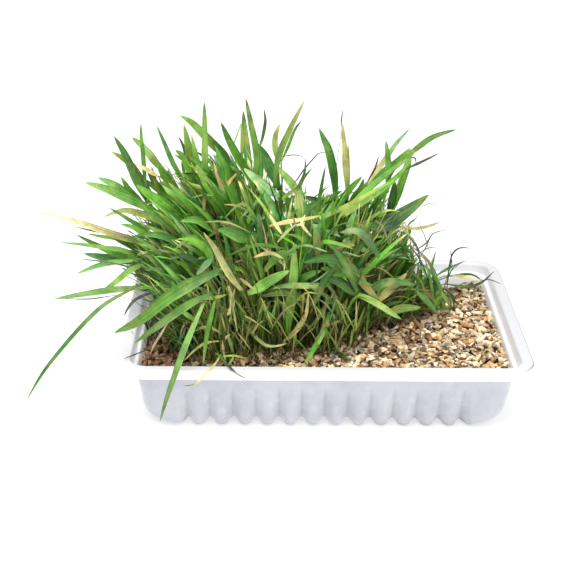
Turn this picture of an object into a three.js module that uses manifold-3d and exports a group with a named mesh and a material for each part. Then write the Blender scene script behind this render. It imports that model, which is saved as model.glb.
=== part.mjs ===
// A tray of cat grass: a thin formed plastic tray with fluted walls, filled with loose pale growing
// medium, and a clump of young cereal grass that leans out over one end. Millimetres, +Z up, on z = 0.
// The origin is the middle of the tray's flat base; X runs along the tray's length and Y across it.
import * as THREE from "three";
import { mergeVertices } from "three/addons/utils/BufferGeometryUtils.js";
import Module from "manifold-3d";

const wasm = await Module();
wasm.setup();

// Tray, outside sizes
const trayLength = 187;
const trayWidth = 137;
const trayHeight = 36;
const sheet = 0.9; // thickness of the formed plastic
const rimCorner = 14; // corner radius of the rim, seen from above
const flangeWidth = 5.3;
const edgeRound = 0.8; // bevel along the rim's outer edge and around the mouth
const lipDepth = 4.3; // how far the rim's outer edge turns down
const ledgeHeight = 31.3; // top of the ledge inside the tray
const ledgeWidth = 2.6;
const bodyCorner = 9; // corner radius of the walls under the ledge
const wallDrop = 22.6; // from under the ledge to the start of the toe
const endDraft = 3.1; // how far the end walls lean in over wallDrop
const sideDraft = 5.7; // and the long walls
const mouthDraft = 0.8; // how far the wall of the mouth leans in, down to the ledge
const toeHeight = 8; // rounding between wall and base
const toeRun = 7;
const toeBend = 2.4; // height of the loop that rounds the toe
const basePanel = { inset: 9, corner: 3 }; // the flat middle of the base, inside the grooves' ends

// Flutes: upright grooves pressed into the walls, deepest at the base
const flutePitch = 10.45;
const sideFlutes = 13;
const endFlutes = 7;
const fluteDepth = 5.5;
const fluteTop = 25; // height where a groove fades out
const fluteFloor = 1.1; // half the width of a groove's floor
const fluteMouth = 3.2; // half the width of its mouth

// Growing medium
const mediumLevel = 27.2;
const mediumFall = 1.8; // the far right corner lies lower
const gap = 0.3; // between pieces that touch

// Grass
const tuftSpacing = 17;
const tuftJitter = 2.4;
const tuftReach = { left: -79, right: 66, front: -47, back: 50 };
const bareSlope = 0.93; // the bare medium starts on a line that runs back to the right
const bareStart = -20; // where that line leaves the front row
const leafReach = new THREE.Box3(new THREE.Vector3(-136, -82, 0), new THREE.Vector3(91, 86, 141));
const leavesPerTuft = 4;
const tallLeavesPerTuft = 2;
const triesPerLeaf = 14; // a leaf that finds no free room in this many tries is left out
const leafWidth = 4.6;
const leafThickness = 0.9;
const crownHeight = 9;
const crownRadius = 2.3;
const footInCrown = 4; // how high in its crown a long leaf begins
const shortestEdge = 0.01;
const kernel = { length: 6.4, width: 3.2, height: 2.8 };

// The clump leans out from its middle: a leaf's run over its rise grows with the distance from there,
// by 1 at these distances. The leaves of the left edge lie flatter still.
const clumpMiddle = { x: -22, y: 4 };
const leanDistance = { left: 62, right: 120, front: 150, back: 110 };
const flatEdge = { from: -60, lean: -0.35 };
const leanScatter = 0.3;

// Height of the clump's leaves: full in the middle, and lower by fall once run past from on either side.
const clumpHeight = {
  full: 112,
  left: { from: -40, run: 40, fall: 26 },
  right: { from: 12, run: 54, fall: 62 },
};

const material = (color, roughness) => new THREE.MeshStandardMaterial({ color, roughness, metalness: 0 });
const plastic = material(0xf3f3f6, 0.35);
const chips = material(0xc9a67c, 0.95);
const husk = material(0x8a5a34, 0.8);
const greens = [material(0x4f8f34, 0.55), material(0x6aa543, 0.55), material(0x3d7a30, 0.55)];
const paleGreen = material(0x9cbf5a, 0.6);
const straw = material(0xd8c27c, 0.75);
const darkLeaf = material(0x2f5a3a, 0.7);

// The same numbers every time, so that the clump never changes.
let seed = 20;
function random(low = 0, high = 1) {
  seed = (seed + 0x6d2b79f5) | 0;
  let t = Math.imul(seed ^ (seed >>> 15), 1 | seed);
  t = (t + Math.imul(t ^ (t >>> 7), 61 | t)) ^ t;
  return low + (high - low) * (((t ^ (t >>> 14)) >>> 0) / 4294967296);
}

const part = new THREE.Group();

function add(name, geometry, finish) {
  geometry.computeVertexNormals();
  const mesh = new THREE.Mesh(geometry, finish);
  mesh.name = name;
  part.add(mesh);
  return mesh;
}

// A closed skin over a row of loops that all have the same number of points, each loop running
// anticlockwise seen from above. The first and last loops are closed with a fan around their middle.
function skin(loops) {
  const count = loops[0].length;
  const middle = (loop) => loop.reduce((sum, p) => sum.add(p), new THREE.Vector3()).divideScalar(count);
  const points = [...loops.flat(), middle(loops[0]), middle(loops.at(-1))];
  const first = points.length - 2;
  const last = points.length - 1;
  const faces = [];
  for (let j = 0; j < count; j++) {
    const k = (j + 1) % count;
    faces.push(first, k, j);
    for (let i = 0; i + 1 < loops.length; i++) {
      const low = i * count;
      const high = low + count;
      faces.push(low + j, low + k, high + k, low + j, high + k, high + j);
    }
    const top = (loops.length - 1) * count;
    faces.push(last, top + j, top + k);
  }
  const geometry = new THREE.BufferGeometry().setFromPoints(points);
  geometry.setIndex(faces);
  return geometry;
}

// Where the flutes stand along a straight side: the place along it, and 1 on a groove's floor or 0 beside.
function fluteStations(flutes) {
  const stations = [];
  for (let n = 0; n < flutes; n++) {
    const centre = (n - (flutes - 1) / 2) * flutePitch;
    stations.push([centre - fluteMouth, 0], [centre - fluteFloor, 1]);
    stations.push([centre + fluteFloor, 1], [centre + fluteMouth, 0]);
  }
  return stations;
}

// A rectangle with round corners and, where depth is above 0, grooves pressed into its sides.
function trayLoop(halfLength, halfWidth, corner, z, depth = 0) {
  const cornerSteps = 4;
  const loop = [];
  const sides = [
    { angle: -90, across: halfWidth, along: halfLength, stations: fluteStations(sideFlutes) },
    { angle: 0, across: halfLength, along: halfWidth, stations: fluteStations(endFlutes) },
    { angle: 90, across: halfWidth, along: halfLength, stations: fluteStations(sideFlutes) },
    { angle: 180, across: halfLength, along: halfWidth, stations: fluteStations(endFlutes) },
  ];
  for (const side of sides) {
    const outward = THREE.MathUtils.degToRad(side.angle);
    const place = (along, across) =>
      new THREE.Vector3(
        across * Math.cos(outward) - along * Math.sin(outward),
        across * Math.sin(outward) + along * Math.cos(outward),
        z,
      );
    const straight = side.along - corner;
    const squeeze = Math.min(1, (straight - 0.2) / side.stations.at(-1)[0]);
    for (const [s, groove] of side.stations) loop.push(place(s * squeeze, side.across - depth * groove));
    for (let n = 0; n <= cornerSteps; n++) {
      const turn = (n / cornerSteps) * (Math.PI / 2);
      const across = side.across - corner + corner * Math.cos(turn);
      loop.push(place(straight + corner * Math.sin(turn), across));
    }
  }
  return loop;
}

// Half the length and half the width of the walls' outer face at a height under the ledge.
const ledgeInset = flangeWidth + edgeRound + ledgeWidth - sheet;
const wallTop = ledgeHeight - sheet;
function wallAt(z) {
  const lean = Math.min(1, (wallTop - z) / wallDrop);
  const drop = Math.max(0, toeHeight - z) / toeHeight; // 0 above the toe, 1 on the base
  const tuck = toeRun * (1 - Math.sqrt(1 - drop * drop));
  return {
    halfLength: trayLength / 2 - ledgeInset - endDraft * lean - tuck,
    halfWidth: trayWidth / 2 - ledgeInset - sideDraft * lean - tuck,
  };
}
const grooveAt = (z) => fluteDepth * Math.max(0, 1 - z / fluteTop);

// A loop on the walls, moved in by inset; lift raises it without changing the wall it follows.
function wallLoop(z, inset, lift = 0) {
  const { halfLength, halfWidth } = wallAt(z);
  return trayLoop(halfLength - inset, halfWidth - inset, bodyCorner - inset, z + lift, grooveAt(z));
}

// A loop on the rim, moved in from its outer edge.
function rimLoop(inset, z) {
  return trayLoop(trayLength / 2 - inset, trayWidth / 2 - inset, rimCorner - inset, z);
}

function tray() {
  const lipFoot = trayHeight - lipDepth;
  const mouth = flangeWidth + edgeRound;
  const { halfLength, halfWidth } = wallAt(0);
  const { inset, corner } = basePanel;
  const floorLoop = (z) => trayLoop(halfLength - inset, halfWidth - inset, corner, z);
  return skin([
    floorLoop(0),
    wallLoop(0, 0),
    wallLoop(toeBend, 0),
    wallLoop(toeHeight, 0),
    wallLoop(fluteTop, 0),
    wallLoop(wallTop, 0),
    rimLoop(mouth + mouthDraft - sheet, wallTop),
    rimLoop(mouth - sheet, trayHeight - sheet),
    rimLoop(sheet, trayHeight - sheet),
    rimLoop(sheet, lipFoot),
    rimLoop(0, lipFoot),
    rimLoop(0, trayHeight - edgeRound),
    rimLoop(edgeRound, trayHeight),
    rimLoop(flangeWidth, trayHeight),
    rimLoop(mouth, trayHeight - edgeRound),
    rimLoop(mouth + mouthDraft, ledgeHeight),
    wallLoop(wallTop, sheet, sheet),
    wallLoop(fluteTop, sheet),
    wallLoop(toeHeight, sheet),
    wallLoop(toeBend, sheet, sheet),
    wallLoop(0, sheet, sheet),
    floorLoop(sheet),
  ]);
}
const trayMesh = add("tray", tray(), plastic);

// The medium's surface is level, apart from the fall towards the far right corner.
function mediumSurface(x, y) {
  const right = x / trayLength + 0.5;
  const back = y / trayWidth + 0.5;
  return mediumLevel - mediumFall * right * back;
}

function growingMedium() {
  const inset = sheet + gap;
  const inGrooves = (z, lift) => {
    const { halfLength, halfWidth } = wallAt(z);
    const clear = inset + grooveAt(z);
    return plainLoop(halfLength - clear, halfWidth - clear, bodyCorner, () => z + lift);
  };
  const shoulder = wallAt(fluteTop);
  const surfaceLoop = (scale) => {
    const halfLength = scale * (shoulder.halfLength - inset);
    const halfWidth = scale * (shoulder.halfWidth - inset);
    return plainLoop(halfLength, halfWidth, bodyCorner * scale, mediumSurface);
  };
  return skin([inGrooves(0, inset), inGrooves(toeHeight, 0), ...[1, 0.8, 0.55, 0.25].map(surfaceLoop)]);
}

// A round-cornered rectangle whose height follows a surface.
function plainLoop(halfLength, halfWidth, corner, height) {
  const loop = [];
  const perSide = 5;
  const cornerSteps = 3;
  for (let side = 0; side < 4; side++) {
    const turned = (side * Math.PI) / 2;
    const [along, across] = side % 2 ? [halfWidth, halfLength] : [halfLength, halfWidth];
    const put = (s, a) => {
      const x = s * Math.cos(turned) + a * Math.sin(turned);
      const y = s * Math.sin(turned) - a * Math.cos(turned);
      loop.push(new THREE.Vector3(x, y, height(x, y)));
    };
    for (let n = 0; n < perSide; n++) put((along - corner) * ((2 * n) / perSide - 1), across);
    for (let n = 0; n < cornerSteps; n++) {
      const turn = (n / cornerSteps) * (Math.PI / 2);
      put(along - corner + corner * Math.sin(turn), across - corner + corner * Math.cos(turn));
    }
  }
  return loop;
}
add("growing_medium", growingMedium(), chips);

// A leaf: a shallow three-sided blade along a curve, widest near its middle, with a pointed tip.
function leaf(curve, width, thickness = leafThickness) {
  const shape = [[0, 0.5], [0.35, 1], [0.75, 0.8]]; // place along the leaf, share of the full width
  const up = new THREE.Vector3(0, 0, 1);
  const loops = shape.map(([t, share]) => {
    const centre = curve.getPoint(t);
    const along = curve.getTangent(t);
    const level = new THREE.Vector3().crossVectors(along, up);
    if (level.length() < 0.05) level.set(0, 1, 0);
    const across = level.normalize().multiplyScalar((share * width) / 2);
    const under = new THREE.Vector3().crossVectors(along, level).normalize().multiplyScalar(thickness);
    return [centre.clone().add(across), centre.clone().sub(across), centre.clone().add(under)];
  });
  const tip = curve.getPoint(1);
  const points = [...loops.flat(), tip];
  const faces = [0, 1, 2];
  for (let i = 0; i < shape.length; i++) {
    for (let j = 0; j < 3; j++) {
      const a = i * 3 + j;
      const b = i * 3 + ((j + 1) % 3);
      if (i + 1 < shape.length) faces.push(a, b + 3, b, a, a + 3, b + 3);
      else faces.push(a, points.length - 1, b);
    }
  }
  const geometry = new THREE.BufferGeometry().setFromPoints(points);
  geometry.setIndex(faces);
  return geometry;
}

function solid(geometry) {
  const plain = new THREE.BufferGeometry();
  plain.setAttribute("position", geometry.getAttribute("position"));
  plain.setIndex(geometry.index);
  const merged = mergeVertices(plain, 1e-4);
  const vertProperties = merged.attributes.position.array;
  const made = new wasm.Manifold(
    new wasm.Mesh({ numProp: 3, vertProperties, triVerts: new Uint32Array(merged.index.array) }),
  );
  if (made.volume() < 0) throw new Error("a solid is inside out");
  return made;
}

function geometryOf(manifold) {
  const mesh = manifold.getMesh();
  const geometry = new THREE.BufferGeometry();
  geometry.setAttribute("position", new THREE.BufferAttribute(mesh.vertProperties, 3));
  geometry.setIndex(new THREE.BufferAttribute(mesh.triVerts, 1));
  return geometry;
}

// True for one body without a sealed hollow and without an edge so short that its ends fall together.
function sound(manifold) {
  if (manifold.decompose().length > 1) return false;
  const { vertProperties, triVerts } = manifold.getMesh();
  const corner = (n) => new THREE.Vector3().fromArray(vertProperties, 3 * triVerts[n]);
  for (let n = 0; n < triVerts.length; n++) {
    const next = n % 3 === 2 ? n - 2 : n + 1;
    if (corner(n).distanceTo(corner(next)) < shortestEdge) return false;
  }
  return true;
}

// The tray and every piece of the clump so far: a new leaf must stay clear of all but its own tuft.
const placed = [solid(trayMesh.geometry)];
const clear = (manifold, others) => others.every((other) => manifold.intersect(other).isEmpty());

// The crown of a tuft: the swollen stem feet, standing on the medium, widest a quarter of the way up.
function crown(x, y) {
  const profile = [
    new THREE.Vector2(0, 0),
    new THREE.Vector2(crownRadius * 0.8, 0),
    new THREE.Vector2(crownRadius, crownHeight * 0.25),
    new THREE.Vector2(crownRadius * 0.6, crownHeight),
    new THREE.Vector2(0, crownHeight * 1.1),
  ];
  return new THREE.LatheGeometry(profile, 5)
    .rotateX(Math.PI / 2)
    .translate(x, y, mediumSurface(x, y) + gap);
}

// Long leaves that stand out of the clump by themselves: foot on the medium, two points further on, tip.
const longLeaves = {
  leaf_far_left: { width: 3.4, path: [[-74, -8], [-90, -16, 57], [-117, -34, 40], [-138, -47, 10]] },
  leaf_over_front_rim: { width: 3.4, path: [[-50, -44], [-56, -52, 49], [-66, -70, 39], [-74, -79, 15]] },
  leaf_broad_left: { width: 7, path: [[-40, -22], [-50, -28, 66], [-72, -36, 57], [-97, -40, 42]] },
  leaf_low_left: { width: 4.2, path: [[-42, -36], [-50, -38, 60], [-66, -42, 54], [-87, -45, 40]] },
  leaf_straw_left: { width: 4, path: [[-52, 6], [-62, 2, 66], [-96, 0, 75], [-134, 0, 84]] },
  leaf_pale_left: { width: 4.6, path: [[-74, 4], [-86, -6, 51], [-106, -13, 50], [-126, -17, 48]] },
  leaf_top_left: { width: 4.6, path: [[-56, 10], [-57, 9, 70], [-56, 7, 107], [-57, 5, 139]] },
  leaf_top_middle: { width: 5, path: [[-26, -6], [-28, -2, 75], [-33, 0, 118], [-37, 0, 142]] },
  leaf_top_right: { width: 4.6, path: [[-12, 8], [-22, 6, 80], [-20, 5, 116], [-10, 5, 140]] },
  leaf_arching_right: { width: 5.4, path: [[6, -4], [12, 0, 85], [35, 5, 110], [62, 10, 124]] },
  leaf_far_back: { width: 5, path: [[-30, 44], [-34, 58, 70], [-38, 74, 100], [-40, 88, 112]] },
  leaf_right_back: { width: 3, path: [[58, 36], [64, 40, 50], [76, 44, 66], [88, 48, 68]] },
};
const longLeafFinish = {
  leaf_straw_left: straw,
  leaf_pale_left: paleGreen,
  leaf_top_right: paleGreen,
  leaf_right_back: darkLeaf,
};

for (const [name, { width, path }] of Object.entries(longLeaves)) {
  const [[x, y], ...rest] = path;
  const start = new THREE.Vector3(x, y, mediumSurface(x, y) + gap + footInCrown);
  const curve = new THREE.CatmullRomCurve3([start, ...rest.map((p) => new THREE.Vector3(...p))]);
  const whole = solid(crown(x, y)).add(solid(leaf(curve, width)));
  if (!clear(whole, placed)) throw new Error(`${name} touches another piece`);
  placed.push(whole);
  add(name, geometryOf(whole), longLeafFinish[name] ?? greens[1]);
}

// Kernels that lie bare at the front left: place on the medium and turn in degrees.
const bareKernels = [[-81, -30, 20], [-76, -44, 75], [-67, -51, 10], [-57, -53, 130]];
bareKernels.forEach(([x, y, turn], n) => {
  const grain = new THREE.SphereGeometry(0.5, 8, 6)
    .scale(kernel.length, kernel.width, kernel.height)
    .rotateZ(THREE.MathUtils.degToRad(turn))
    .translate(x, y, mediumSurface(x, y) + gap + kernel.height / 2);
  if (!clear(solid(grain), placed)) throw new Error(`kernel ${n + 1} touches another piece`);
  placed.push(solid(grain));
  add(`seed_kernel_${n + 1}`, grain, husk);
});

// One dark leaf has fallen on the bare medium.
function fallenLeaf() {
  const path = [[-2, -20], [5, -31], [13, -44]];
  const lying = ([x, y]) => new THREE.Vector3(x, y, mediumSurface(x, y) + gap + leafThickness + 0.1);
  return leaf(new THREE.QuadraticBezierCurve3(...path.map(lying)), leafWidth);
}
const fallen = add("fallen_leaf", fallenLeaf(), darkLeaf);
placed.push(solid(fallen.geometry));

// Which way a leaf leans, as run over rise.
function lean(x, y) {
  const fromMiddle = { x: x - clumpMiddle.x, y: y - clumpMiddle.y };
  const flattened = x < flatEdge.from ? flatEdge.lean : 0;
  return new THREE.Vector2(
    fromMiddle.x / (fromMiddle.x < 0 ? leanDistance.left : leanDistance.right) + flattened,
    fromMiddle.y / (fromMiddle.y < 0 ? leanDistance.front : leanDistance.back),
  );
}

// Full leaf height over the medium: tall in the middle, low at the far right.
function fullHeight(x) {
  const { full, left, right } = clumpHeight;
  const pastLeft = Math.max(0, (left.from - x) / left.run);
  const pastRight = Math.max(0, (x - right.from) / right.run);
  return full - left.fall * pastLeft - right.fall * pastRight;
}

// A leaf of a tuft: it rises out of the crown, then leans and droops towards its tip.
function tuftLeaf(x, y, share) {
  const height = fullHeight(x) * share;
  const scatter = new THREE.Vector2(random(-leanScatter, leanScatter), random(-leanScatter, leanScatter));
  const out = lean(x, y).add(scatter);
  const footHeight = mediumSurface(x, y) + gap + random(3, 5);
  const foot = new THREE.Vector3(x + out.x * 0.8, y + out.y * 0.8, footHeight);
  const steep = 1 / Math.sqrt(1 + out.lengthSq());
  const run = out.multiplyScalar(height * steep);
  const rise = height * steep;
  const bend = new THREE.Vector3(x + run.x * 0.35, y + run.y * 0.35, foot.z + rise * 0.68);
  const tip = new THREE.Vector3(x + run.x, y + run.y, foot.z + rise).clamp(leafReach.min, leafReach.max);
  return new THREE.QuadraticBezierCurve3(foot, bend, tip);
}

function tuft(x, y) {
  const standing = solid(crown(x, y));
  if (!clear(standing, placed)) return null;
  let whole = standing;
  for (let n = 0; n < leavesPerTuft; n++) {
    const share = n < tallLeavesPerTuft ? random(0.78, 1) : random(0.4, 0.7);
    for (let attempt = 0; attempt < triesPerLeaf; attempt++) {
      const curve = tuftLeaf(x, y, share);
      const room = solid(leaf(curve, leafWidth + 2 * gap, leafThickness + 2 * gap));
      if (!clear(room, placed)) continue;
      const grown = whole.add(solid(leaf(curve, leafWidth)));
      if (!sound(grown)) continue;
      whole = grown;
      break;
    }
  }
  return whole;
}

const grassFront = (x) => tuftReach.front + bareSlope * Math.max(0, x - bareStart);
let tufts = 0;
for (let y = tuftReach.front; y <= tuftReach.back; y += tuftSpacing) {
  for (let x = tuftReach.left; x <= tuftReach.right; x += tuftSpacing) {
    if (y < grassFront(x)) continue;
    const [jitterX, jitterY] = [random(-tuftJitter, tuftJitter), random(-tuftJitter, tuftJitter)];
    const whole = tuft(x + jitterX, y + jitterY);
    if (!whole) continue;
    placed.push(whole);
    tufts += 1;
    add(`grass_tuft_${String(tufts).padStart(2, "0")}`, geometryOf(whole), greens[tufts % greens.length]);
  }
}

export default part;
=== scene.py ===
import math

import bpy
import numpy as np
from mathutils import Matrix, Vector


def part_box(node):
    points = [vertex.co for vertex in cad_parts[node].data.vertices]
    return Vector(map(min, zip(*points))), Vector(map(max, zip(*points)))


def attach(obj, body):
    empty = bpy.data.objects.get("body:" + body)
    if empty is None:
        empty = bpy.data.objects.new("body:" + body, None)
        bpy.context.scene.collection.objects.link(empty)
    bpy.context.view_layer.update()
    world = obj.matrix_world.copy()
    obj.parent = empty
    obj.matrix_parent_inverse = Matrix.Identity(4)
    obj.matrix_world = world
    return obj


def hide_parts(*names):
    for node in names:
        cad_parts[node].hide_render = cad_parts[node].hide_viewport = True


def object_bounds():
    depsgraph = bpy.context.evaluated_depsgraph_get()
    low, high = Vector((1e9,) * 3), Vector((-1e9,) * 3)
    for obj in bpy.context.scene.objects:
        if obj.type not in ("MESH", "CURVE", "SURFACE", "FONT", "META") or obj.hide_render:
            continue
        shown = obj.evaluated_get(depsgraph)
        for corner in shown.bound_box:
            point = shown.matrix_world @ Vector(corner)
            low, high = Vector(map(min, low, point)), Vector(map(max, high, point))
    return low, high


# A tray of cat grass: a white fluted tray, pale loose chips and a clump of young cereal grass.
# Sizes are in millimetres; every mesh is turned into metres as it is made.
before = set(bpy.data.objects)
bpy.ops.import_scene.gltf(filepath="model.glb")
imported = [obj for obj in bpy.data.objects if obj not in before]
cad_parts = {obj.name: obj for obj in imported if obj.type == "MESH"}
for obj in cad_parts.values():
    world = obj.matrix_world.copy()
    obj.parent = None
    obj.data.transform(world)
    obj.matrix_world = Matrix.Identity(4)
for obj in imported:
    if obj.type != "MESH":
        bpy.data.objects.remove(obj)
cadBox = [[float(c) for c in corner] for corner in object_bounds()]
mm = 0.001
reach = np.array(cadBox) / mm
dice = np.random.default_rng(7)

studio = {
    "distance": 685.9, "elevation": 22.483, "azimuth": -0.517, "roll": 0.591, "lens": 90.64,
    "aim": (-18.686, 0, 49.477), "floorColour": (0.52, 0.52, 0.53, 1), "floorGlow": 0.56, "floorHalf": 8000,
    "skyColour": (0.94, 0.96, 1.0, 1), "skyStrength": 0.4,
    # in metres: what the lights point at, then each light's place, its size and its power
    "lightAim": (-0.01, 0, 0.05),
    "lights": {"key": ((-0.14, -0.38, 1.0), 0.9, 17), "fill": ((0.6, -0.8, 0.45), 0.8, 4.5),
               "back": ((0.2, 0.8, 0.9), 0.6, 3.0)},
}


def boxOf(node):  # a node's lowest and highest corner
    return np.array([list(corner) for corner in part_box(node)]) / mm


def buildMesh(name, points, faceGroups, uv=None, tint=None, faceted=False, creases=None):
    # points (n, 3); each face group is (faces, corners); uv, tint and creases have one row per point
    def fill(items, field, values, kind=np.float32):
        items.foreach_set(field, values.astype(kind).ravel())

    mesh = bpy.data.meshes.new(name)
    loops = np.concatenate([group.ravel() for group in faceGroups])
    corners = np.concatenate([np.full(len(group), group.shape[1]) for group in faceGroups])
    starts = np.concatenate([[0], np.cumsum(corners)[:-1]])
    mesh.vertices.add(len(points))
    fill(mesh.vertices, "co", points * mm)
    mesh.loops.add(len(loops))
    fill(mesh.loops, "vertex_index", loops, np.int32)
    mesh.polygons.add(len(starts))
    fill(mesh.polygons, "loop_start", starts, np.int32)
    fill(mesh.polygons, "use_smooth", np.full(len(starts), not faceted), bool)
    if uv is not None:
        fill(mesh.uv_layers.new(name="along").data, "uv", uv[loops])
    if tint is not None:
        colours = mesh.attributes.new("tint", "FLOAT_COLOR", "POINT")
        fill(colours.data, "color", np.column_stack([tint, np.ones(len(tint))]))
    mesh.update(calc_edges=True)
    if creases is not None:  # points numbered 1, 2 ... lie on sharp lines; an edge within one line is sharp
        ends = np.empty(len(mesh.edges) * 2, np.int32)
        mesh.edges.foreach_get("vertices", ends)
        marks = creases[ends.reshape(-1, 2)]
        sharp = mesh.attributes.new("sharp_edge", "BOOLEAN", "EDGE")
        fill(sharp.data, "value", (marks[:, 0] > 0) & (marks[:, 0] == marks[:, 1]), bool)
    mesh.validate()
    piece = bpy.data.objects.new(name, mesh)
    bpy.context.scene.collection.objects.link(piece)
    return piece


def closedTube(rows, columns):
    # faces of rings numbered row by row: quads between neighbours, then the first and the last ring filled
    low = np.arange(rows - 1)[:, None] * columns
    ring = np.arange(columns)
    here, after = ring[None, :], (ring[None, :] + 1) % columns
    quads = np.stack([low + here, low + after, low + columns + after, low + columns + here], -1)
    return [quads.reshape(-1, 4), ring[::-1][None, :], (ring + columns * (rows - 1))[None, :]]


def finishPiece(piece, material, replaced=()):
    piece.data.materials.append(material)
    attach(piece, "root")
    if replaced:
        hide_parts(*replaced)
    return piece


class Signal:  # a value in a material; arithmetic on it adds Math nodes
    def __init__(self, finish, socket):
        self.finish = finish
        self.socket = socket

    def combine(self, operation, left, right):
        return self.finish.node("ShaderNodeMath", {"operation": operation}, {0: left, 1: right})

    def __add__(self, other):
        return self.combine("ADD", self, other)

    __radd__ = __add__

    def __mul__(self, other):
        return self.combine("MULTIPLY", self, other)

    __rmul__ = __mul__

    def __sub__(self, other):
        return self.combine("SUBTRACT", self, other)

    def __rsub__(self, other):
        return self.combine("SUBTRACT", other, self)


class Finish:  # one material and its shader
    def __init__(self, name, **constants):
        self.material = bpy.data.materials.new(name)
        self.material.use_nodes = True
        self.tree = self.material.node_tree
        self.shader = self.tree.nodes["Principled BSDF"]
        for socket, value in constants.items():
            self.shader.inputs[socket.replace("_", " ")].default_value = value

    def node(self, kind, settings=None, inputs=None, output=0):
        made = self.tree.nodes.new(kind)
        for setting, value in (settings or {}).items():
            setattr(made, setting, value)
        for socket, value in (inputs or {}).items():
            if isinstance(value, Signal):
                self.tree.links.new(value.socket, made.inputs[socket])
            else:
                made.inputs[socket].default_value = value
        return Signal(self, made.outputs[output])

    def mix(self, share, first, second, blend="MIX"):
        settings = {"data_type": "RGBA", "blend_type": blend, "clamp_factor": True}
        return self.node("ShaderNodeMix", settings, {0: share, 6: first, 7: second}, 2)

    def place(self):
        return self.node("ShaderNodeTexCoord", output="Object")

    def attribute(self, name):
        return self.node("ShaderNodeAttribute", {"attribute_name": name})

    def noise(self, scale, detail, roughness=0.5, where=None):
        inputs = {"Vector": where or self.place(), "Scale": scale, "Detail": detail, "Roughness": roughness}
        return self.node("ShaderNodeTexNoise", None, inputs)

    def step(self, value, low, high, toLow=0.0, toHigh=1.0):  # smooth change from toLow to toHigh
        inputs = {"Value": value, "From Min": low, "From Max": high, "To Min": toLow, "To Max": toHigh}
        return self.node("ShaderNodeMapRange", {"interpolation_type": "SMOOTHSTEP"}, inputs)

    def feed(self, socket, value):
        self.tree.links.new(value.socket, self.shader.inputs[socket])

    def bump(self, height, strength, distance):
        inputs = {"Strength": strength, "Distance": distance, "Height": height}
        self.feed("Normal", self.node("ShaderNodeBump", None, inputs))


def grainyFinish(name, roughness, noise, dark, light, strength, distance):
    # noise blends from a dark tone to a light one and lifts the surface where it is light
    finish = Finish(name, Roughness=roughness)
    grain = finish.noise(*noise)
    finish.feed("Base Color", finish.mix(finish.step(grain, 0.35, 0.7), opaque(*dark), opaque(*light)))
    finish.bump(grain, strength, distance)
    return finish.material


def linear(red, green, blue):  # a screen colour, 0 to 255, as a linear one
    share = np.array([red, green, blue]) / 255
    return tuple(np.where(share <= 0.04045, share / 12.92, ((share + 0.055) / 1.055) ** 2.4))


def opaque(red, green, blue):
    return (*linear(red, green, blue), 1)


def smooth(low, high, value):  # 0 below low, 1 above high, and a soft change between them
    t = np.clip((value - low) / (high - low), 0, 1)
    return t * t * (3 - 2 * t)


def unit(vectors):
    return vectors / np.linalg.norm(vectors, axis=-1, keepdims=True)


print("stage: tray")

tray = {
    "sheet": 0.9, "rimCorner": 14, "flange": 5.3, "edge": 0.8, "lip": 4.3,
    "ledge": 31.3, "ledgeWidth": 2.6, "bodyCorner": 9, "wallDrop": 22.6,
    "endDraft": 3.1, "sideDraft": 5.7, "toeHeight": 8, "toeRun": 7, "footCorner": 9, "footCornerHeight": 11,
    "pitch": 10.45, "sideFlutes": 13, "endFlutes": 7, "fluteDepth": 5.5, "fluteTop": 25,
    "fluteSharpness": 1.5, "fluteFacing": (0.7, 0.88), "creaseShade": 0.26, "flankLight": 0.06, "paintedGlow": 0.2,
    "creaseLift": 1.4, "edgeShade": 0.8, "endShade": 0.11,
    "points": (208, 120, 28),  # along a side, an end and a corner
    # the plastic is white at the rim, greyer inside, and shows the medium through the walls
    # each region's tone is also set for the light it gets, so the tones are partly painted light and shade:
    # the lip lighter than the brim's top, the walls greyer in part
    "innerColour": (186, 186, 184), "ledgeColour": (200, 200, 200), "mouthColour": (184, 184, 188),
    "brimColour": (177, 177, 179), "lipColour": (240, 240, 242), "wallColour": (158, 159, 166),
    # the foot's tone is a painted shadow along the walls' lowest edge
    "footColour": (84, 85, 92),
}
# a profile row's tone is a place in this list
toneRegions = ["inner", "ledge", "mouth", "brim", "lip", "wall", "foot"]
innerTone, ledgeTone, mouthTone, brimTone, lipTone, wallTone, footShadeTone = range(len(toneRegions))
unfluted = 99.0  # a height for flutes that lies over all of them
trayBox = boxOf("tray")
halfLength, halfWidth, trayHeight = trayBox[1]


def wallInset(z):  # how far the walls' outer face lies inside the rim's edge, lengthways and across
    lean = np.minimum(1, (tray["ledge"] - tray["sheet"] - z) / tray["wallDrop"])
    drop = np.clip(1 - z / tray["toeHeight"], 0, 1)
    tuck = tray["toeRun"] * (1 - np.sqrt(1 - drop ** 2))
    start = tray["flange"] + tray["edge"] + tray["ledgeWidth"] - tray["sheet"]
    return start + tray["endDraft"] * lean + tuck, start + tray["sideDraft"] * lean + tuck


# a profile row holds: inset lengthways, inset across, height, corner, height for flutes, tone
def wallRows(heights, inset, lift=0.0, tone=wallTone):
    # a wall's rows: the inset of its leaning face plus this one, the corners wider towards the foot
    z = np.asarray(heights, float)
    alongInset, acrossInset = wallInset(z)
    widened = tray["footCorner"] * np.clip(1 - z / tray["footCornerHeight"], 0, 1) ** 1.4
    corner = tray["bodyCorner"] - inset + widened
    return np.column_stack([alongInset + inset, acrossInset + inset, z + lift, corner, z, tone + 0 * z])


def rimRows(spots, tone=lipTone):  # rows from (inset from the rim's edge, height) pairs
    inset, z = np.array(spots, float).T
    corner = np.maximum(tray["rimCorner"] - inset, 3)
    return np.column_stack([inset, inset, z, corner, np.full(len(z), unfluted), tone + 0 * z])


def turnRows(start, turn, end, steps=5, tones=(lipTone, lipTone)):
    # rows along a quadratic curve from start to end around a corner of the profile
    t = np.linspace(0, 1, steps)[:, None]
    start, turn, end = (np.array(p, float) for p in (start, turn, end))
    return rimRows((1 - t) ** 2 * start + 2 * t * (1 - t) * turn + t ** 2 * end, np.linspace(*tones, steps))


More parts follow.
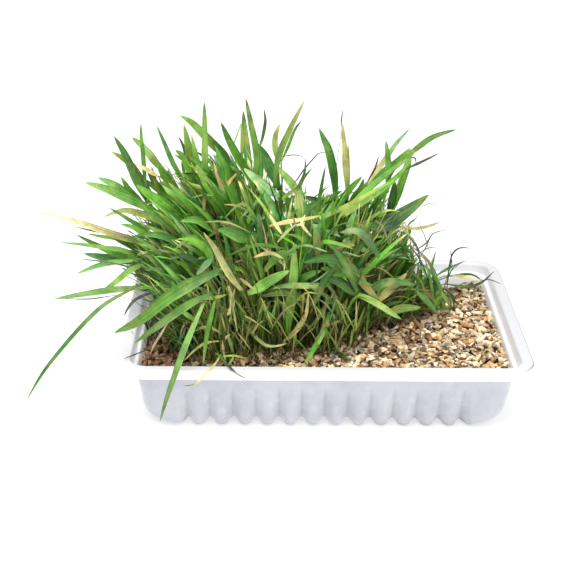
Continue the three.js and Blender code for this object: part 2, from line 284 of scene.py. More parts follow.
def trayContour(fine=1.0):
    # one turn around the tray: each point's place on the straight (a, c) and its outward direction (b, d)
    sideCount, endCount, cornerCount = (int(count * fine) for count in tray["points"])
    theta = np.linspace(0, np.pi / 2, cornerCount + 2)[1:-1]
    places, outwards = [], []
    for side in range(4):  # x + iy, turned a quarter further for each side
        s = np.linspace(-1, 1, endCount if side % 2 else sideCount)
        places.append(1j ** side * np.concatenate([s - 1j, 0 * theta + 1 - 1j]))
        outwards.append(1j ** side * np.concatenate([0 * s - 1j, np.sin(theta) - 1j * np.cos(theta)]))
    place, outward = np.concatenate(places)[None, :], np.concatenate(outwards)[None, :]
    return place.real, outward.real, place.imag, outward.imag


def fluteShape(s, flutes, outward):
    # 1 in a groove's middle and 0 midway between two: a raised cosine to a power, a pitch long;
    # it fades where the wall turns away round a corner
    reachOut = (flutes - 1) / 2
    centre = tray["pitch"] * np.clip(np.round(s / tray["pitch"]), -reachOut, reachOut)
    off = np.clip(np.abs(s - centre) / (tray["pitch"] / 2), 0, 1)
    groove = (0.5 + 0.5 * np.cos(np.pi * off)) ** tray["fluteSharpness"]
    return smooth(*tray["fluteFacing"], np.abs(outward)) * groove


def sweepContour(rows, contour):
    # the rounded rectangle of each profile row, with flutes pressed in by their depth at that height
    a, b, c, d = contour
    alongInset, acrossInset, z, corner, fluteHeight = (rows[:, n][:, None] for n in range(5))
    x = a * (halfLength - alongInset - corner) + b * corner
    y = c * (halfWidth - acrossInset - corner) + d * corner
    share = np.clip(1 - fluteHeight / tray["fluteTop"], 0, 1)
    groove = fluteShape(x, tray["sideFlutes"], d) + fluteShape(y, tray["endFlutes"], b)
    pressed = tray["fluteDepth"] * share * groove
    # painted shade darkens a crease along its bottom, and painted light lifts its flanks a little
    shade = 1 - tray["creaseShade"] * smooth(0.9, 1, groove) * smooth(0.04, 0.3, share)
    shade = shade + tray["flankLight"] * 4 * groove * (1 - groove) * share
    # painted shade: the rim's edge is greyer along the ends and the back, and the rim a little greyer at
    # the right end and lighter at the left, as the light falls
    onRim = smooth(trayHeight - 1.5, trayHeight - 0.5, z)
    onEdge = onRim * (1 - smooth(0.3, 1.2, alongInset)) * (0.75 + 0.25 * b)
    shade = shade * (1 - tray["edgeShade"] * onEdge * np.hypot(b, np.maximum(d, 0)))
    shade = shade * (1 - tray["endShade"] * onRim * b)
    # the walls' lower edge rises a little at every crease
    z = z + tray["creaseLift"] * smooth(0.25, 1, groove) * smooth(0.6, 1, share)
    return np.stack([x - b * pressed, y - d * pressed, z], -1), shade


def floorRow(inset, tone):  # the first or the last row, on the flat base
    along, across = wallRows([0], inset, inset)[0][:2]
    return [along + 9, across + 9, inset, 4, unfluted, tone]


def trayProfile():
    # rows from the flat base up the outside, round the rim's edge and over it, then down the inside
    sheet, flange, ledge, top = tray["sheet"], tray["flange"], tray["ledge"], trayHeight
    mouth = flange + tray["edge"]
    foot, under, below = top - tray["lip"], ledge - sheet, top - sheet
    toe = np.linspace(0, 1, 14) ** 1.6 * tray["toeHeight"]  # rows closer together at the foot
    climb = np.concatenate([toe, np.linspace(9.5, ledge - sheet - 1.2, 22)])
    shoulder = wallInset(np.array([ledge]))[0][0] + 0.1
    inner = shoulder + sheet
    intoLedge, intoWall = (mouthTone, ledgeTone), (ledgeTone, innerTone)
    outside = [
        # painted shadow: the outside darkens to the foot's tone along its lowest 2.4 mm, fully below 0.9 mm
        wallRows(climb, 0, 0, footShadeTone - np.clip((climb - 0.9) / 1.5, 0, 1)),
        turnRows((shoulder, under - 0.8), (shoulder - 0.2, under), (shoulder - 1, under)),
        turnRows((mouth + 0.9 - sheet, under), (mouth + 0.5 - sheet, under), (mouth + 0.4 - sheet, ledge)),
        turnRows((mouth - sheet, below - 0.6), (mouth - sheet, below), (mouth - sheet - 0.6, below)),
        turnRows((1.6 * sheet, below), (sheet, below), (sheet, top - 1.7 * sheet)),
        rimRows([(sheet, foot + 0.25)]),
        turnRows((sheet, foot + 0.2), (sheet * 0.5, foot - 0.15), (0, foot + 0.2)),
    ]
    inside = [
        turnRows((0, top - 1.5), (0, top), (1.5, top), 8, (lipTone, brimTone)),
        turnRows((flange - 0.5, top), (mouth - 0.1, top), (mouth, top - 1.4), 8, (brimTone, mouthTone)),
        turnRows((mouth + 0.7, ledge + 0.7), (mouth + 0.8, ledge), (mouth + 1.5, ledge), 5, intoLedge),
        turnRows((inner - 0.8, ledge), (inner, ledge), (inner + 0.1, ledge - 0.8), 5, intoWall),
        wallRows(climb[::-1], sheet, sheet, innerTone),
    ]
    return np.vstack([[floorRow(0, wallTone)], *outside, *inside, [floorRow(sheet, innerTone)]])


def makeTray():
    rows = trayProfile()
    points, shade = sweepContour(rows, trayContour())
    columns = points.shape[1]
    tones = np.array([linear(*tray[region + "Colour"]) for region in toneRegions])
    tint = np.stack([np.interp(rows[:, 5], np.arange(len(tones)), channel) for channel in tones.T], -1)
    # times the painted shade and light from sweepContour
    tint = np.repeat(tint, columns, axis=0) * shade.reshape(-1, 1)
    return buildMesh("tray_shell", points.reshape(-1, 3), closedTube(len(rows), columns), tint=tint)


def plasticFinish():
    # the tone of the place times clouds, which show only on the walls under the ledge;
    # a weak even glow, painted light that stands in for light passing through the thin sheet and lifts its
    # shaded faces
    finish = Finish("white formed plastic", Roughness=0.34, IOR=1.48, Emission_Color=(1, 1, 1, 1),
                    Emission_Strength=tray["paintedGlow"])
    height = finish.node("ShaderNodeSeparateXYZ", None, {0: finish.place()}, 2)
    cloud = finish.noise(55, 5, 0.65)
    mottle = finish.noise(260, 3, 0.6)
    wall = finish.step(height, 0.0265, 0.0306, 1, 0)
    clouds = finish.step(cloud, 0.35, 0.68) * wall
    cloudy = finish.mix(clouds, finish.attribute("tint"), opaque(232, 232, 238), "MULTIPLY")
    specks = finish.step(mottle, 0.5, 0.75, 0, 0.3) * wall
    finish.feed("Base Color", finish.mix(specks, cloudy, opaque(188, 188, 192)))
    finish.feed("Roughness", finish.step(finish.noise(120, 3), 0.3, 0.7, 0.28, 0.42))
    finish.bump(cloud * 0.7 + mottle * 0.2, 0.25, 0.0006)
    return finish.material


finishPiece(makeTray(), plasticFinish(), ["tray"])


print("stage: growing medium")

medium = {
    # its level, the fall to the far right corner, the heap along the right wall, how far the bed lies lower
    "level": 27.2, "fall": 1.8, "heap": 2.0, "heapSpan": (70, 83), "sunk": 1.6,
    "spacing": 1.66, "chip": (1.0, 2.15), "bigShare": 0.12, "bigger": 1.3, "depth": (-2.6, 0.8),
    "push": (0.5, 1.25), "squash": ((0.9, 1.5), (0.6, 1.0), (0.28, 0.7)),
    "rightShift": 1.5, "rightSpan": (60, 82), "rightGap": 9.3,
    # painted shadow: the chips are darker behind a slanting line and at the left end, where the grass
    # stands over them
    "bareSlope": 0.93, "bareStart": -20, "grassFront": -47, "grassLeft": -45,
    "warmth": (1.1, 1.05, 0.93), "grassShadow": (0.42, 0.4, 0.33), "shade": (0.25, 1.36),
    # each colour's share and the piece that its chips are in
    "colours": [
        ((250, 240, 220), 0.24, "pale"), ((238, 217, 182), 0.28, "pale"), ((216, 184, 138), 0.22, "tan"),
        ((188, 148, 102), 0.12, "tan"), ((200, 152, 98), 0.04, "brown"), ((132, 100, 68), 0.09, "brown"),
        ((188, 176, 158), 0.03, "tan"), ((66, 42, 26), 0.035, "brown"),
    ],
}


def mediumHeight(x, y):  # level, but lower towards the far right corner and heaped against the right wall
    slope = medium["fall"] * (x / (2 * halfLength) + 0.5) * (y / (2 * halfWidth) + 0.5)
    return medium["level"] - slope + medium["heap"] * smooth(*medium["heapSpan"], x)


def ripple(x, y, size, seed):  # a few crossed waves: smooth bumps about size millimetres across
    turns = np.random.default_rng(seed).uniform(0, 2 * np.pi, (2, 7))
    total = 0
    for turn, shift in turns.T:
        total = total + np.sin((x * np.cos(turn) + y * np.sin(turn)) * 2 * np.pi / size + shift)
    return total / 3.7


def makeBed():
    # loops along the walls at four heights, then the top as ever smaller loops with lumps
    contour = trayContour(0.35)
    sides = wallRows([0.5, 6, 14, 22], tray["sheet"] + 0.3, 0.9)
    sides[:, 0:2] += tray["fluteDepth"] * np.clip(1 - sides[:, 4:5] / tray["fluteTop"], 0, 1)
    sides[:, 4] = unfluted
    walls = sweepContour(sides, contour)[0]
    edge = sweepContour(wallRows([25.2], tray["sheet"] + 0.35), contour)[0][0]
    top = edge[None, :, :] * np.linspace(1, 0.02, 46)[:, None, None]
    x, y = top[:, :, 0], top[:, :, 1]
    top[:, :, 2] = mediumHeight(x, y) - medium["sunk"] + 0.35 * ripple(x, y, 6, 3)
    top[:, :, 2] += 0.3 * ripple(x, y, 17, 4)
    points = np.concatenate([walls, top])
    return buildMesh("medium_bed", points.reshape(-1, 3), closedTube(*points.shape[:2]))


def randomTurns(count):  # random rotations as (count, 3, 3) matrices
    w, x, y, z = unit(dice.normal(size=(count, 4))).T
    return np.stack([
        1 - 2 * (y * y + z * z), 2 * (x * y - z * w), 2 * (x * z + y * w),
        2 * (x * y + z * w), 1 - 2 * (x * x + z * z), 2 * (y * z - x * w),
        2 * (x * z - y * w), 2 * (y * z + x * w), 1 - 2 * (x * x + y * y),
    ], -1).reshape(-1, 3, 3)


def lyingTurns(count):  # turned freely about the upright, then tipped over by up to about 60 degrees
    spin, tipWay = dice.uniform(0, 2 * np.pi, (2, count))
    tip = np.abs(dice.normal(0, 0.55, count))
    flat, cross = np.zeros((2, count, 3, 3))
    flat[:, 0, 0] = flat[:, 1, 1] = np.cos(spin)
    flat[:, 0, 1], flat[:, 1, 0] = -np.sin(spin), np.sin(spin)
    flat[:, 2, 2] = 1
    cross[:, 0, 2], cross[:, 1, 2] = np.sin(tipWay), -np.cos(tipWay)
    cross[:, 2, 0], cross[:, 2, 1] = -np.sin(tipWay), np.cos(tipWay)
    sine, rest = np.sin(tip)[:, None, None], (1 - np.cos(tip))[:, None, None]
    return (np.eye(3) + sine * cross + rest * cross @ cross) @ flat


def icosahedron():
    g = (1 + 5 ** 0.5) / 2
    corners = np.array([
        (-1, g, 0), (1, g, 0), (-1, -g, 0), (1, -g, 0), (0, -1, g), (0, 1, g),
        (0, -1, -g), (0, 1, -g), (g, 0, -1), (g, 0, 1), (-g, 0, -1), (-g, 0, 1),
    ]) / math.hypot(1, g)
    faces = np.array([
        (0, 11, 5), (0, 5, 1), (0, 1, 7), (0, 7, 10), (0, 10, 11), (1, 5, 9), (5, 11, 4), (11, 10, 2),
        (10, 7, 6), (7, 1, 8), (3, 9, 4), (3, 4, 2), (3, 2, 6), (3, 6, 8), (3, 8, 9), (4, 9, 5),
        (2, 4, 11), (6, 2, 10), (8, 6, 7), (9, 8, 1),
    ])
    return corners, faces


def chipCloud(centres, sizes, tints):
    # each chip is an icosahedron with its corners pushed in or out, squashed and turned
    corners, faces = icosahedron()
    count, many = len(centres), len(corners)
    push = dice.uniform(*medium["push"], (count, many, 1))
    squash = np.stack([dice.uniform(*span, count) for span in medium["squash"]], -1)
    shapes = corners[None] * push * squash[:, None, :] * sizes[:, None, None]
    points = np.einsum("nij,nkj->nki", lyingTurns(count), shapes) + centres[:, None, :]
    allFaces = faces[None] + many * np.arange(count)[:, None, None]
    return points.reshape(-1, 3), allFaces.reshape(-1, 3), np.repeat(tints, many, axis=0)


def insideWalls(x, y, margin):  # true inside the tray's inner wall at the medium's level
    alongInset, acrossInset = wallInset(np.array([27.0]))
    corner = tray["bodyCorner"] - 1
    dx = np.abs(x) - (halfLength - alongInset[0] - margin - corner)
    dy = np.abs(y) - (halfWidth - acrossInset[0] - margin - corner)
    return np.hypot(np.maximum(dx, 0), np.maximum(dy, 0)) + np.minimum(np.maximum(dx, dy), 0) < corner


def chipPlaces():
    step = medium["spacing"]
    x, y = np.meshgrid(np.arange(-86, 87, step), np.arange(-62, 63, step))
    x = x.ravel() + dice.uniform(-0.5, 0.5, x.size) * step
    y = y.ravel() + dice.uniform(-0.5, 0.5, y.size) * step
    keep = insideWalls(x, y, tray["sheet"] + 1.9)
    x, y = x[keep], y[keep]
    return x + medium["rightShift"] * smooth(*medium["rightSpan"], x), y  # right up to the right wall


def makeChips():
    x, y = chipPlaces()
    count = len(x)
    sizes = dice.uniform(*medium["chip"], count)
    sizes = sizes * np.where(dice.random(count) < medium["bigShare"], medium["bigger"], 1)
    z = mediumHeight(x, y) + 0.45 * ripple(x, y, 17, 4) + dice.uniform(*medium["depth"], count)
    colours, shares, pieces = (np.array(column) for column in zip(*medium["colours"]))
    kinds = dice.choice(len(shares), count, p=shares / shares.sum())
    shade = dice.uniform(*medium["shade"], count)[:, None] ** 0.85
    tints = np.stack(linear(*colours[kinds].T), -1) * shade * medium["warmth"]
    # painted shadow of the grass on the chips behind the slanting line and at the left end
    behind = y > medium["grassFront"] + medium["bareSlope"] * np.maximum(0, x - medium["bareStart"])
    dark = (behind | (x < medium["grassLeft"]))[:, None]
    tints = np.where(dark, tints * medium["grassShadow"], tints)
    for name in ("pale", "tan", "brown"):
        mine = pieces[kinds] == name
        points, faces, tint = chipCloud(np.column_stack([x, y, z])[mine], sizes[mine], tints[mine])
        points[:, 0] = np.minimum(points[:, 0], halfLength - medium["rightGap"])  # inside the right wall
        piece = buildMesh(name + "_chips", points, [faces], tint=tint, faceted=True)
        finishPiece(piece, chipMaterial)


def chipFinish():
    # the chip's own tone, darker in blotches and with pale flecks; both lift the surface a little
    finish = Finish("mineral chips", Roughness=0.85)
    tint = finish.attribute("tint")
    grain = finish.noise(520, 5, 0.7)
    flecks = finish.noise(1500, 2, 0.6)
    darker = finish.mix(0.55, tint, opaque(122, 92, 60), "MULTIPLY")
    body = finish.mix(finish.step(grain, 0.36, 0.66), darker, tint)
    pale = finish.step(flecks, 0.58, 0.72, 0, 0.6)
    finish.feed("Base Color", finish.mix(pale, body, opaque(255, 250, 236)))
    finish.feed("Roughness", finish.step(grain, 0.3, 0.7, 0.95, 0.7))
    finish.bump(grain + flecks * 0.5, 0.6, 0.0005)
    return finish.material


chipMaterial = chipFinish()
# the bed is dark partly in the medium's own brown and partly as painted shade in the gaps between the chips
bedMaterial = grainyFinish("dark medium, painted gap shade", 0.9, (420, 4, 0.7), (36, 22, 13), (96, 66, 40), 0.8, 0.0012)
finishPiece(makeBed(), bedMaterial, ["growing_medium"])
makeChips()


print("stage: kernels")

kernels = {"size": (6.4, 3.2, 2.8), "turns": (20, 75, 10, 130), "scattered": 130}


def kernelShape(lengthSteps=11, aroundSteps=10):
    # a pointed ellipsoid with a furrow pressed along one side
    v = np.linspace(0, 1, lengthSteps)[:, None]
    u = np.linspace(0, 2 * np.pi, aroundSteps, endpoint=False)[None, :]
    girth = np.sin(np.pi * v) ** 0.72 * (1 - 0.12 * v)
    furrow = 1 - 0.28 * np.exp(-((u - np.pi / 2) / 0.45) ** 2)
    points = np.stack([(v - 0.5) + 0 * u, 0.5 * girth * np.cos(u), 0.5 * girth * np.sin(u) * furrow], -1)
    points[[0, -1], :, 1:] = 0.02 * np.stack([np.cos(u[0]), np.sin(u[0])], -1)  # its blunt ends
    return points.reshape(-1, 3), [group[:, ::-1] for group in closedTube(lengthSteps, aroundSteps)]


def makeKernel(number, degrees):
    node = f"seed_kernel_{number}"
    turn = math.radians(degrees)
    rows = [[math.cos(turn), math.sin(turn), 0], [-math.sin(turn), math.cos(turn), 0], [0, 0, 1]]
    points, faces = kernelShape(19, 18)
    points = (points * kernels["size"]) @ np.array(rows)
    piece = buildMesh(node + "_skin", points + boxOf(node).mean(axis=0), faces)
    return finishPiece(piece, huskMaterial, [node])


def makeScatteredKernels():  # three in four lie at the left along the front, the rest anywhere
    shape, faces = kernelShape()
    count = kernels["scattered"]
    many = count * 3 // 4
    x = np.concatenate([-82 + 46 * dice.random(many) ** 1.3, dice.uniform(-60, 60, count - many)])
    y = np.concatenate([dice.uniform(-54, -18, many), dice.uniform(-20, 50, count - many)])
    size = dice.uniform(0.75, 1.1, count)[:, None] * kernels["size"]
    z = mediumHeight(x, y) + dice.uniform(0.4, 1.5, count)
    shapes = np.einsum("nij,nkj->nki", randomTurns(count), shape[None] * size[:, None, :])
    points = (shapes + np.column_stack([x, y, z])[:, None, :]).reshape(-1, 3)
    shift = len(shape) * np.arange(count)[:, None, None]
    groups = [(group[None] + shift).reshape(-1, group.shape[1]) for group in faces]
    return finishPiece(buildMesh("scattered_kernels", points, groups), huskMaterial)


huskMaterial = grainyFinish("grain husk", 0.6, (300, 4, 0.6), (72, 46, 26), (152, 112, 70), 0.5, 0.0004)
for number, degrees in enumerate(kernels["turns"], 1):
    makeKernel(number, degrees)
makeScatteredKernels()


print("stage: leaves")

leafColours = {
    "bright": (98, 168, 42), "green": (102, 158, 50), "mid": (86, 140, 46), "deep": (62, 118, 38),
    "blue": (104, 160, 90), "pale": (152, 188, 132), "light": (138, 178, 82), "lime": (152, 172, 74),
    "olive": (138, 138, 60), "yellow": (200, 198, 134), "hay": (180, 164, 106), "straw": (230, 214, 156),
    "tan": (212, 178, 120), "pink": (214, 178, 150), "brown": (112, 78, 52), "dark": (52, 72, 54),
    "base": (186, 184, 124), "sage": (116, 144, 80), "blush": (246, 216, 198),
}
skinOf = {name: np.array(linear(*colour)) for name, colour in leafColours.items()}

grass = {
    "stations": 12, "spread": 8.6, "deepShade": 0.28,
    # the leaves lean away from the heart, whose x and y these are, pass over the rim by this gap and
    # reach no further forward than the front limit
    "heart": (-14, 4), "rimGap": 1.4, "frontLimit": -57,
    # how far the leaves stand over the medium, from left to right, and its share from front to middle
    "canopyAlong": [(-84, 52), (-70, 70), (-50, 86), (-12, 80), (8, 70), (28, 72), (38, 66), (46, 52),
                    (54, 36), (62, 26), (70, 18)],
    "canopyAcross": [(-50, 0.42), (-34, 0.55), (-18, 0.78), (0, 1)],
    "frontLine": [(-84, -38), (-48, -38), (-36, -32), (-20, -29), (8, -12), (37, 10), (60, 28)],
    # outline of the clump without its outermost leaves, on the upright plane across the tray's middle
    "outlineTop": [(-96, 74), (-88, 90), (-81, 101), (-74, 109), (-64, 115), (-45, 114), (-34, 112),
                   (-26, 108), (-20, 101), (-12, 96), (-4, 93), (10, 96), (25, 96), (34, 93), (40, 82),
                   (46, 66), (54, 54), (62, 44), (72, 34)],
    "outlineLeft": [(24, -77), (34, -77), (42, -78), (50, -81), (60, -88), (75, -91), (95, -85),
                    (115, -75)],
    "outlineRight": [(24, 73), (36, 69), (46, 61), (54, 53), (62, 46), (70, 42), (78, 40), (86, 39),
                     (100, 35)],
    # colours and how often each is drawn
    "footMix": {"base": 3, "tan": 2, "pink": 0.8, "brown": 1.2, "olive": 2},
}
evenSteps = np.linspace(0, 1, grass["stations"])  # from a leaf's foot to its tip


def curve(marks, place):  # straight lines between (place, value) pairs
    return np.interp(place, *zip(*marks))


def pickColours(mix, count):  # colours drawn by their chances, each a little lighter or darker
    chance = np.array(list(mix.values()), float)
    picks = dice.choice(len(chance), count, p=chance / chance.sum())
    colours = np.array([skinOf[name] for name in mix])[picks]
    return colours * dice.uniform(0.76, 1.5, (count, 1)) * dice.uniform(0.92, 1.08, (count, 3))


def some(chance, low, high, count):  # from low to high for this share of the plants, 0 for the others
    return np.where(dice.random(count) < chance, dice.uniform(low, high, count), 0)


def clearOfRim(points):  # lifts what would pass through the rim or the walls to just above the rim
    x, y, z = points[..., 0], points[..., 1], points[..., 2]
    # beyond is the way outwards from 10 mm inside the rim's edge; past 12 a leaf may hang down again
    beyond = np.maximum(np.abs(x) - (halfLength - 10), np.abs(y) - (halfWidth - 10))
    over = smooth(-3, 1, beyond) * (1 - smooth(10.5, 13, beyond))
    ground = mediumHeight(x, y)
    lifted = ground + (trayHeight + grass["rimGap"] - ground) * over - 60 * (beyond > 12)
    return np.stack([x, y, np.maximum(z, lifted)], -1)


def withinReach(points):  # bends what grows beyond the part's reach back along its limits
    margin, ease = 3, 12
    low, high = reach[0] + margin, reach[1] - margin
    over, under = np.maximum(points - (high - ease), 0), np.maximum(low + ease - points, 0)
    return points - over + ease * (1 - np.exp(-over / ease)) + under - ease * (1 - np.exp(-under / ease))


def ribbons(centre, facing, width, thickness, fold):
    # a leaf's cross-section is a shallow V: left edge, midrib, right edge and the midrib's underside
    along = unit(np.gradient(centre, axis=1))
    facing = unit(facing - along * (facing * along).sum(-1, keepdims=True))
    half = width[..., None] / 2
    side = np.cross(along, facing) * half
    lift = facing * fold[..., None] * half
    sink = facing * thickness[..., None] / 2
    return np.stack([centre + side + lift, centre + sink, centre - side + lift, centre - sink], -2)


def leafMesh(name, sections, tints):
    # sections (leaves, stations, 4, 3); tints (leaves, stations, 3)
    leaves, stations = sections.shape[:2]
    points = np.clip(sections, reach[0] + 0.6, reach[1] - 0.6).reshape(-1, 3)
    faces = np.concatenate(closedTube(stations, 4))[:, ::-1]
    allFaces = (faces[None] + 4 * stations * np.arange(leaves)[:, None, None]).reshape(-1, 4)
    uRow = np.tile([0, 0.5, 1, 0.5], leaves * stations)
    vRow = np.tile(np.repeat(np.linspace(0, 1, stations), 4), leaves)
    creases = np.tile([1, 0, 2, 0], leaves * stations)
    tint = np.repeat(tints.reshape(-1, 3), 4, axis=0)
    return buildMesh(name, points, [allFaces], np.column_stack([uRow, vRow]), tint, creases=creases)


# painted shade: leaves darken the deeper they lie inside the clump, and painted light lifts those near its
# top
def shaded(tints, lines):  # darker the deeper inside the clump
    full = canopy(lines[:, :1, 0], lines[:, :1, 1]) * 0.95
    share = np.clip((lines[..., 2] - medium["level"]) / np.maximum(full, 20), 0, 1)
    light = grass["deepShade"] + (1 - grass["deepShade"]) * share ** 0.6 + 0.3 * smooth(0.45, 0.95, share)
    return tints * light[..., None]


def leafTints(colour, foot, footShare, dryTip):
    # from the foot's colour through the leaf's own to a tip that may be dry; colours are (leaves, 3)
    t = evenSteps[:, None]
    dry = dryTip[:, None, None]
    low = (1 - smooth(0, 0.45, t)) * footShare[:, None, None]
    tip = smooth(1 - dry, 1.05 - 0.3 * dry, t) * (dry > 0)
    blend = colour[:, None, :] * (1 - low) + foot[:, None, :] * low
    return blend * (1 - tip) + skinOf["straw"] * tip


def growLines(root, first, last, droop, length, kink):
    # a line sets out along first and turns towards last, evenly or at its kink; droop pulls its end down;
    # given back are the lines that stay inside the clump and the share of its width that each one keeps
    t = evenSteps[:, None]
    droop, length, kink = (values[:, None, None] for values in (droop, length, kink))
    share = np.where(kink > 0, smooth(kink - 0.06, kink + 0.06, t), t ** 0.8)
    down = np.array([0, 0, 1]) * droop * t ** 2
    way = unit(first[:, None] * (1 - share) + last[:, None] * share - down)
    steps = (way[:, 1:] + way[:, :-1]) * (length / (len(t) - 1) / 2)
    lines = root[:, None] + np.concatenate([0 * steps[:, :1], np.cumsum(steps, axis=1)], axis=1)
    return keptInside(clearOfRim(withinReach(lines)))


def anyFacing(lines):  # each leaf faces its own way, the same all along it
    return unit(dice.normal(size=(len(lines), 3)))[:, None] + 0 * lines


def turnedFacing(facing, axis, angle):  # turned about the line's own way, more and more towards its tip
    turn = angle[:, None, None] * evenSteps[:, None]
    return facing * np.cos(turn) + np.cross(axis, facing) * np.sin(turn)


def bladeWidth(width, foot=0.5, widest=0.35):
    # width and thickness along a blade: from the foot's share up to the full width, then round to the tip
    t = evenSteps
    shape = (foot + (1 - foot) * smooth(0, widest, t)) * (1 - t ** 2.6) ** 0.8
    return width[:, None] * np.maximum(shape, 0.02), 0.32 * (0.2 + 0.8 * (1 - t ** 4)) + 0 * width[:, None]


def slender(lines, facing, width, foot, widest, thicker, fold):  # narrow ribbons along the lines
    width, thickness = bladeWidth(width, foot, widest)
    return ribbons(lines, facing, width, thickness + thicker, fold + 0 * width)


def viewWay():  # the way from the aim to the camera
    yaw, lift = math.radians(studio["azimuth"]), math.radians(studio["elevation"])
    return np.array([math.sin(yaw) * math.cos(lift), -math.cos(yaw) * math.cos(lift), math.sin(lift)])


def seenAt(points, plane, depth):
    # the places at this depth that look the same from the front as points on an upright plane
    eye = np.array(studio["aim"]) + viewWay() * studio["distance"]
    share = (depth - eye[1]) / (plane - eye[1])
    return eye + (points - eye) * np.asarray(share)[..., None]


def shareWithin(value, limit, sign):  # 1 where a line stays within the limit, else the share it may keep
    foot = value[:, :1]
    kept = sign * (limit - foot) / np.maximum(sign * (value - foot), 1)
    return np.where(sign * value > sign * limit, kept, 1)


def keptInside(lines):
    # shrinks a leaf towards its root until it stays inside the clump's outline, seen from the front
    seen = seenAt(lines, lines[..., 1], 0)
    x, z = seen[..., 0], seen[..., 2]
    loose = dice.uniform(-5, 4, (len(lines), 1))
    top = curve(grass["outlineTop"], x) + loose
    left = curve(grass["outlineLeft"], z) + loose
    right = curve(grass["outlineRight"], z) - loose
    limits = [(z, top, 1), (x, left, -1), (x, right, 1), (lines[..., 1], grass["frontLimit"], -1)]
    share = np.minimum.reduce([shareWithin(*limit) for limit in limits]).min(axis=1)
    share = np.clip(np.where(share < 1, share * dice.uniform(0.8, 1.05, len(lines)), 1), 0.14, 1)
    return clearOfRim(lines[:, :1] + (lines - lines[:, :1]) * share[:, None, None]), share ** 0.7


def leanOf(x, y):  # run over rise: out of the clump on every side, most of all to the left
    heartX, heartY = grass["heart"]
    return (x - heartX) / np.where(x < heartX, 46, 64), (y - heartY) / np.where(y < heartY, 260, 130)


def canopy(x, y):  # how far the leaves stand over the medium: low at the right end and along the front
    return curve(grass["canopyAlong"], x) * curve(grass["canopyAcross"], y)


def manyOf(kind, centre):  # how many a tuft gets: fewer at the clump's front left corner, more inside
    corner = smooth(48, 64, -centre[0]) * smooth(24, 40, -centre[1])
    inner = smooth(-34, -16, centre[1]) * smooth(-66, -50, centre[0])
    return max(3, round(kind["count"] * (1 - kind["fewer"] * corner + kind["more"] * inner)))


def frontLine(x):  # the feet stand behind this line; loose chips and kernels lie in front of it
    return curve(grass["frontLine"], x)


def footsOf(centre, count):
    angle, far = dice.uniform(0, 2 * np.pi, count), grass["spread"] * np.sqrt(dice.random(count))
    x, y = centre[0] + far * np.cos(angle), centre[1] + far * np.sin(angle)
    front = frontLine(x)
    y = np.where(y < front, front + (front - y) * 0.5, y)
    inside = insideWalls(x, y, tray["sheet"] + 2.5)
    x, y = np.where(inside, x, centre[0]), np.where(inside, y, centre[1])
    return np.column_stack([x, y, mediumHeight(x, y) - 1.0])


def wayUp(root, loose, share):  # the way that a plant at root grows, with this share of its lean
    ways = [share * lean + dice.normal(0, loose, len(root)) for lean in leanOf(root[:, 0], root[:, 1])]
    return unit(np.column_stack([*ways, np.ones(len(root))]))


# setsOut and turnsTo: how loosely a plant keeps to its lean, and its share of it, at the foot and the tip;
# kinked and dryTips: the share of the plants, then where their kink lies or how long the dry tip is
stems = {
    "count": 9, "fewer": 0.6, "more": 0, "setsOut": (0.12, 0.35), "turnsTo": (0.28, 1),
    "height": (0.45, 0.88), "width": (1.0, 1.8), "taper": 0.35,
    "mix": {"green": 3, "deep": 2, "light": 2, "lime": 2, "olive": 2, "pale": 0.6, "tan": 0.5},
    "footMix": {"base": 3, "tan": 0.7, "olive": 1.5, "pink": 0.4},
}


def growStems(centre):
    count = manyOf(stems, centre)
    root = footsOf(centre, count)
    first, last = wayUp(root, *stems["setsOut"]), wayUp(root, *stems["turnsTo"])
    height = canopy(root[:, 0], root[:, 1]) * dice.uniform(*stems["height"], count)
    none = np.zeros(count)
    lines, _ = growLines(root, first, last, none, height, none)
    width = dice.uniform(*stems["width"], count)[:, None] * (1 - stems["taper"] * evenSteps)
    sections = ribbons(lines, anyFacing(lines), width, width * 0.8, 0 * width)
    foot = pickColours(stems["footMix"], count) * 0.8
    tints = leafTints(pickColours(stems["mix"], count), foot, np.ones(count), none)
    return lines, sections, shaded(tints, lines)


blades = {
    "count": 30, "fewer": 0.6, "more": 0.4, "strays": 0.38, "length": (26, 58), "strayLength": (20, 42),
    "topGrowth": (0.85, 1.3), "topLimits": (12, 64), "droop": (0, 0.4), "strayDroop": (0, 1.0),
    "kinked": (0.16, 0.3, 0.65), "narrowest": 2.0, "wider": 3.6, "fold": (0.05, 0.5), "twist": 0.9,
    "dryTips": (0.16, 0.08, 0.4), "footShare": (0.2, 1),
    "broadMix": {"green": 5, "deep": 4, "blue": 2, "light": 0.5},
    "mix": {"green": 5, "bright": 2, "deep": 5, "blue": 1.4, "light": 1.2, "lime": 0.8, "olive": 1.1,
            "yellow": 0.14, "straw": 0.1, "tan": 0.06},
}


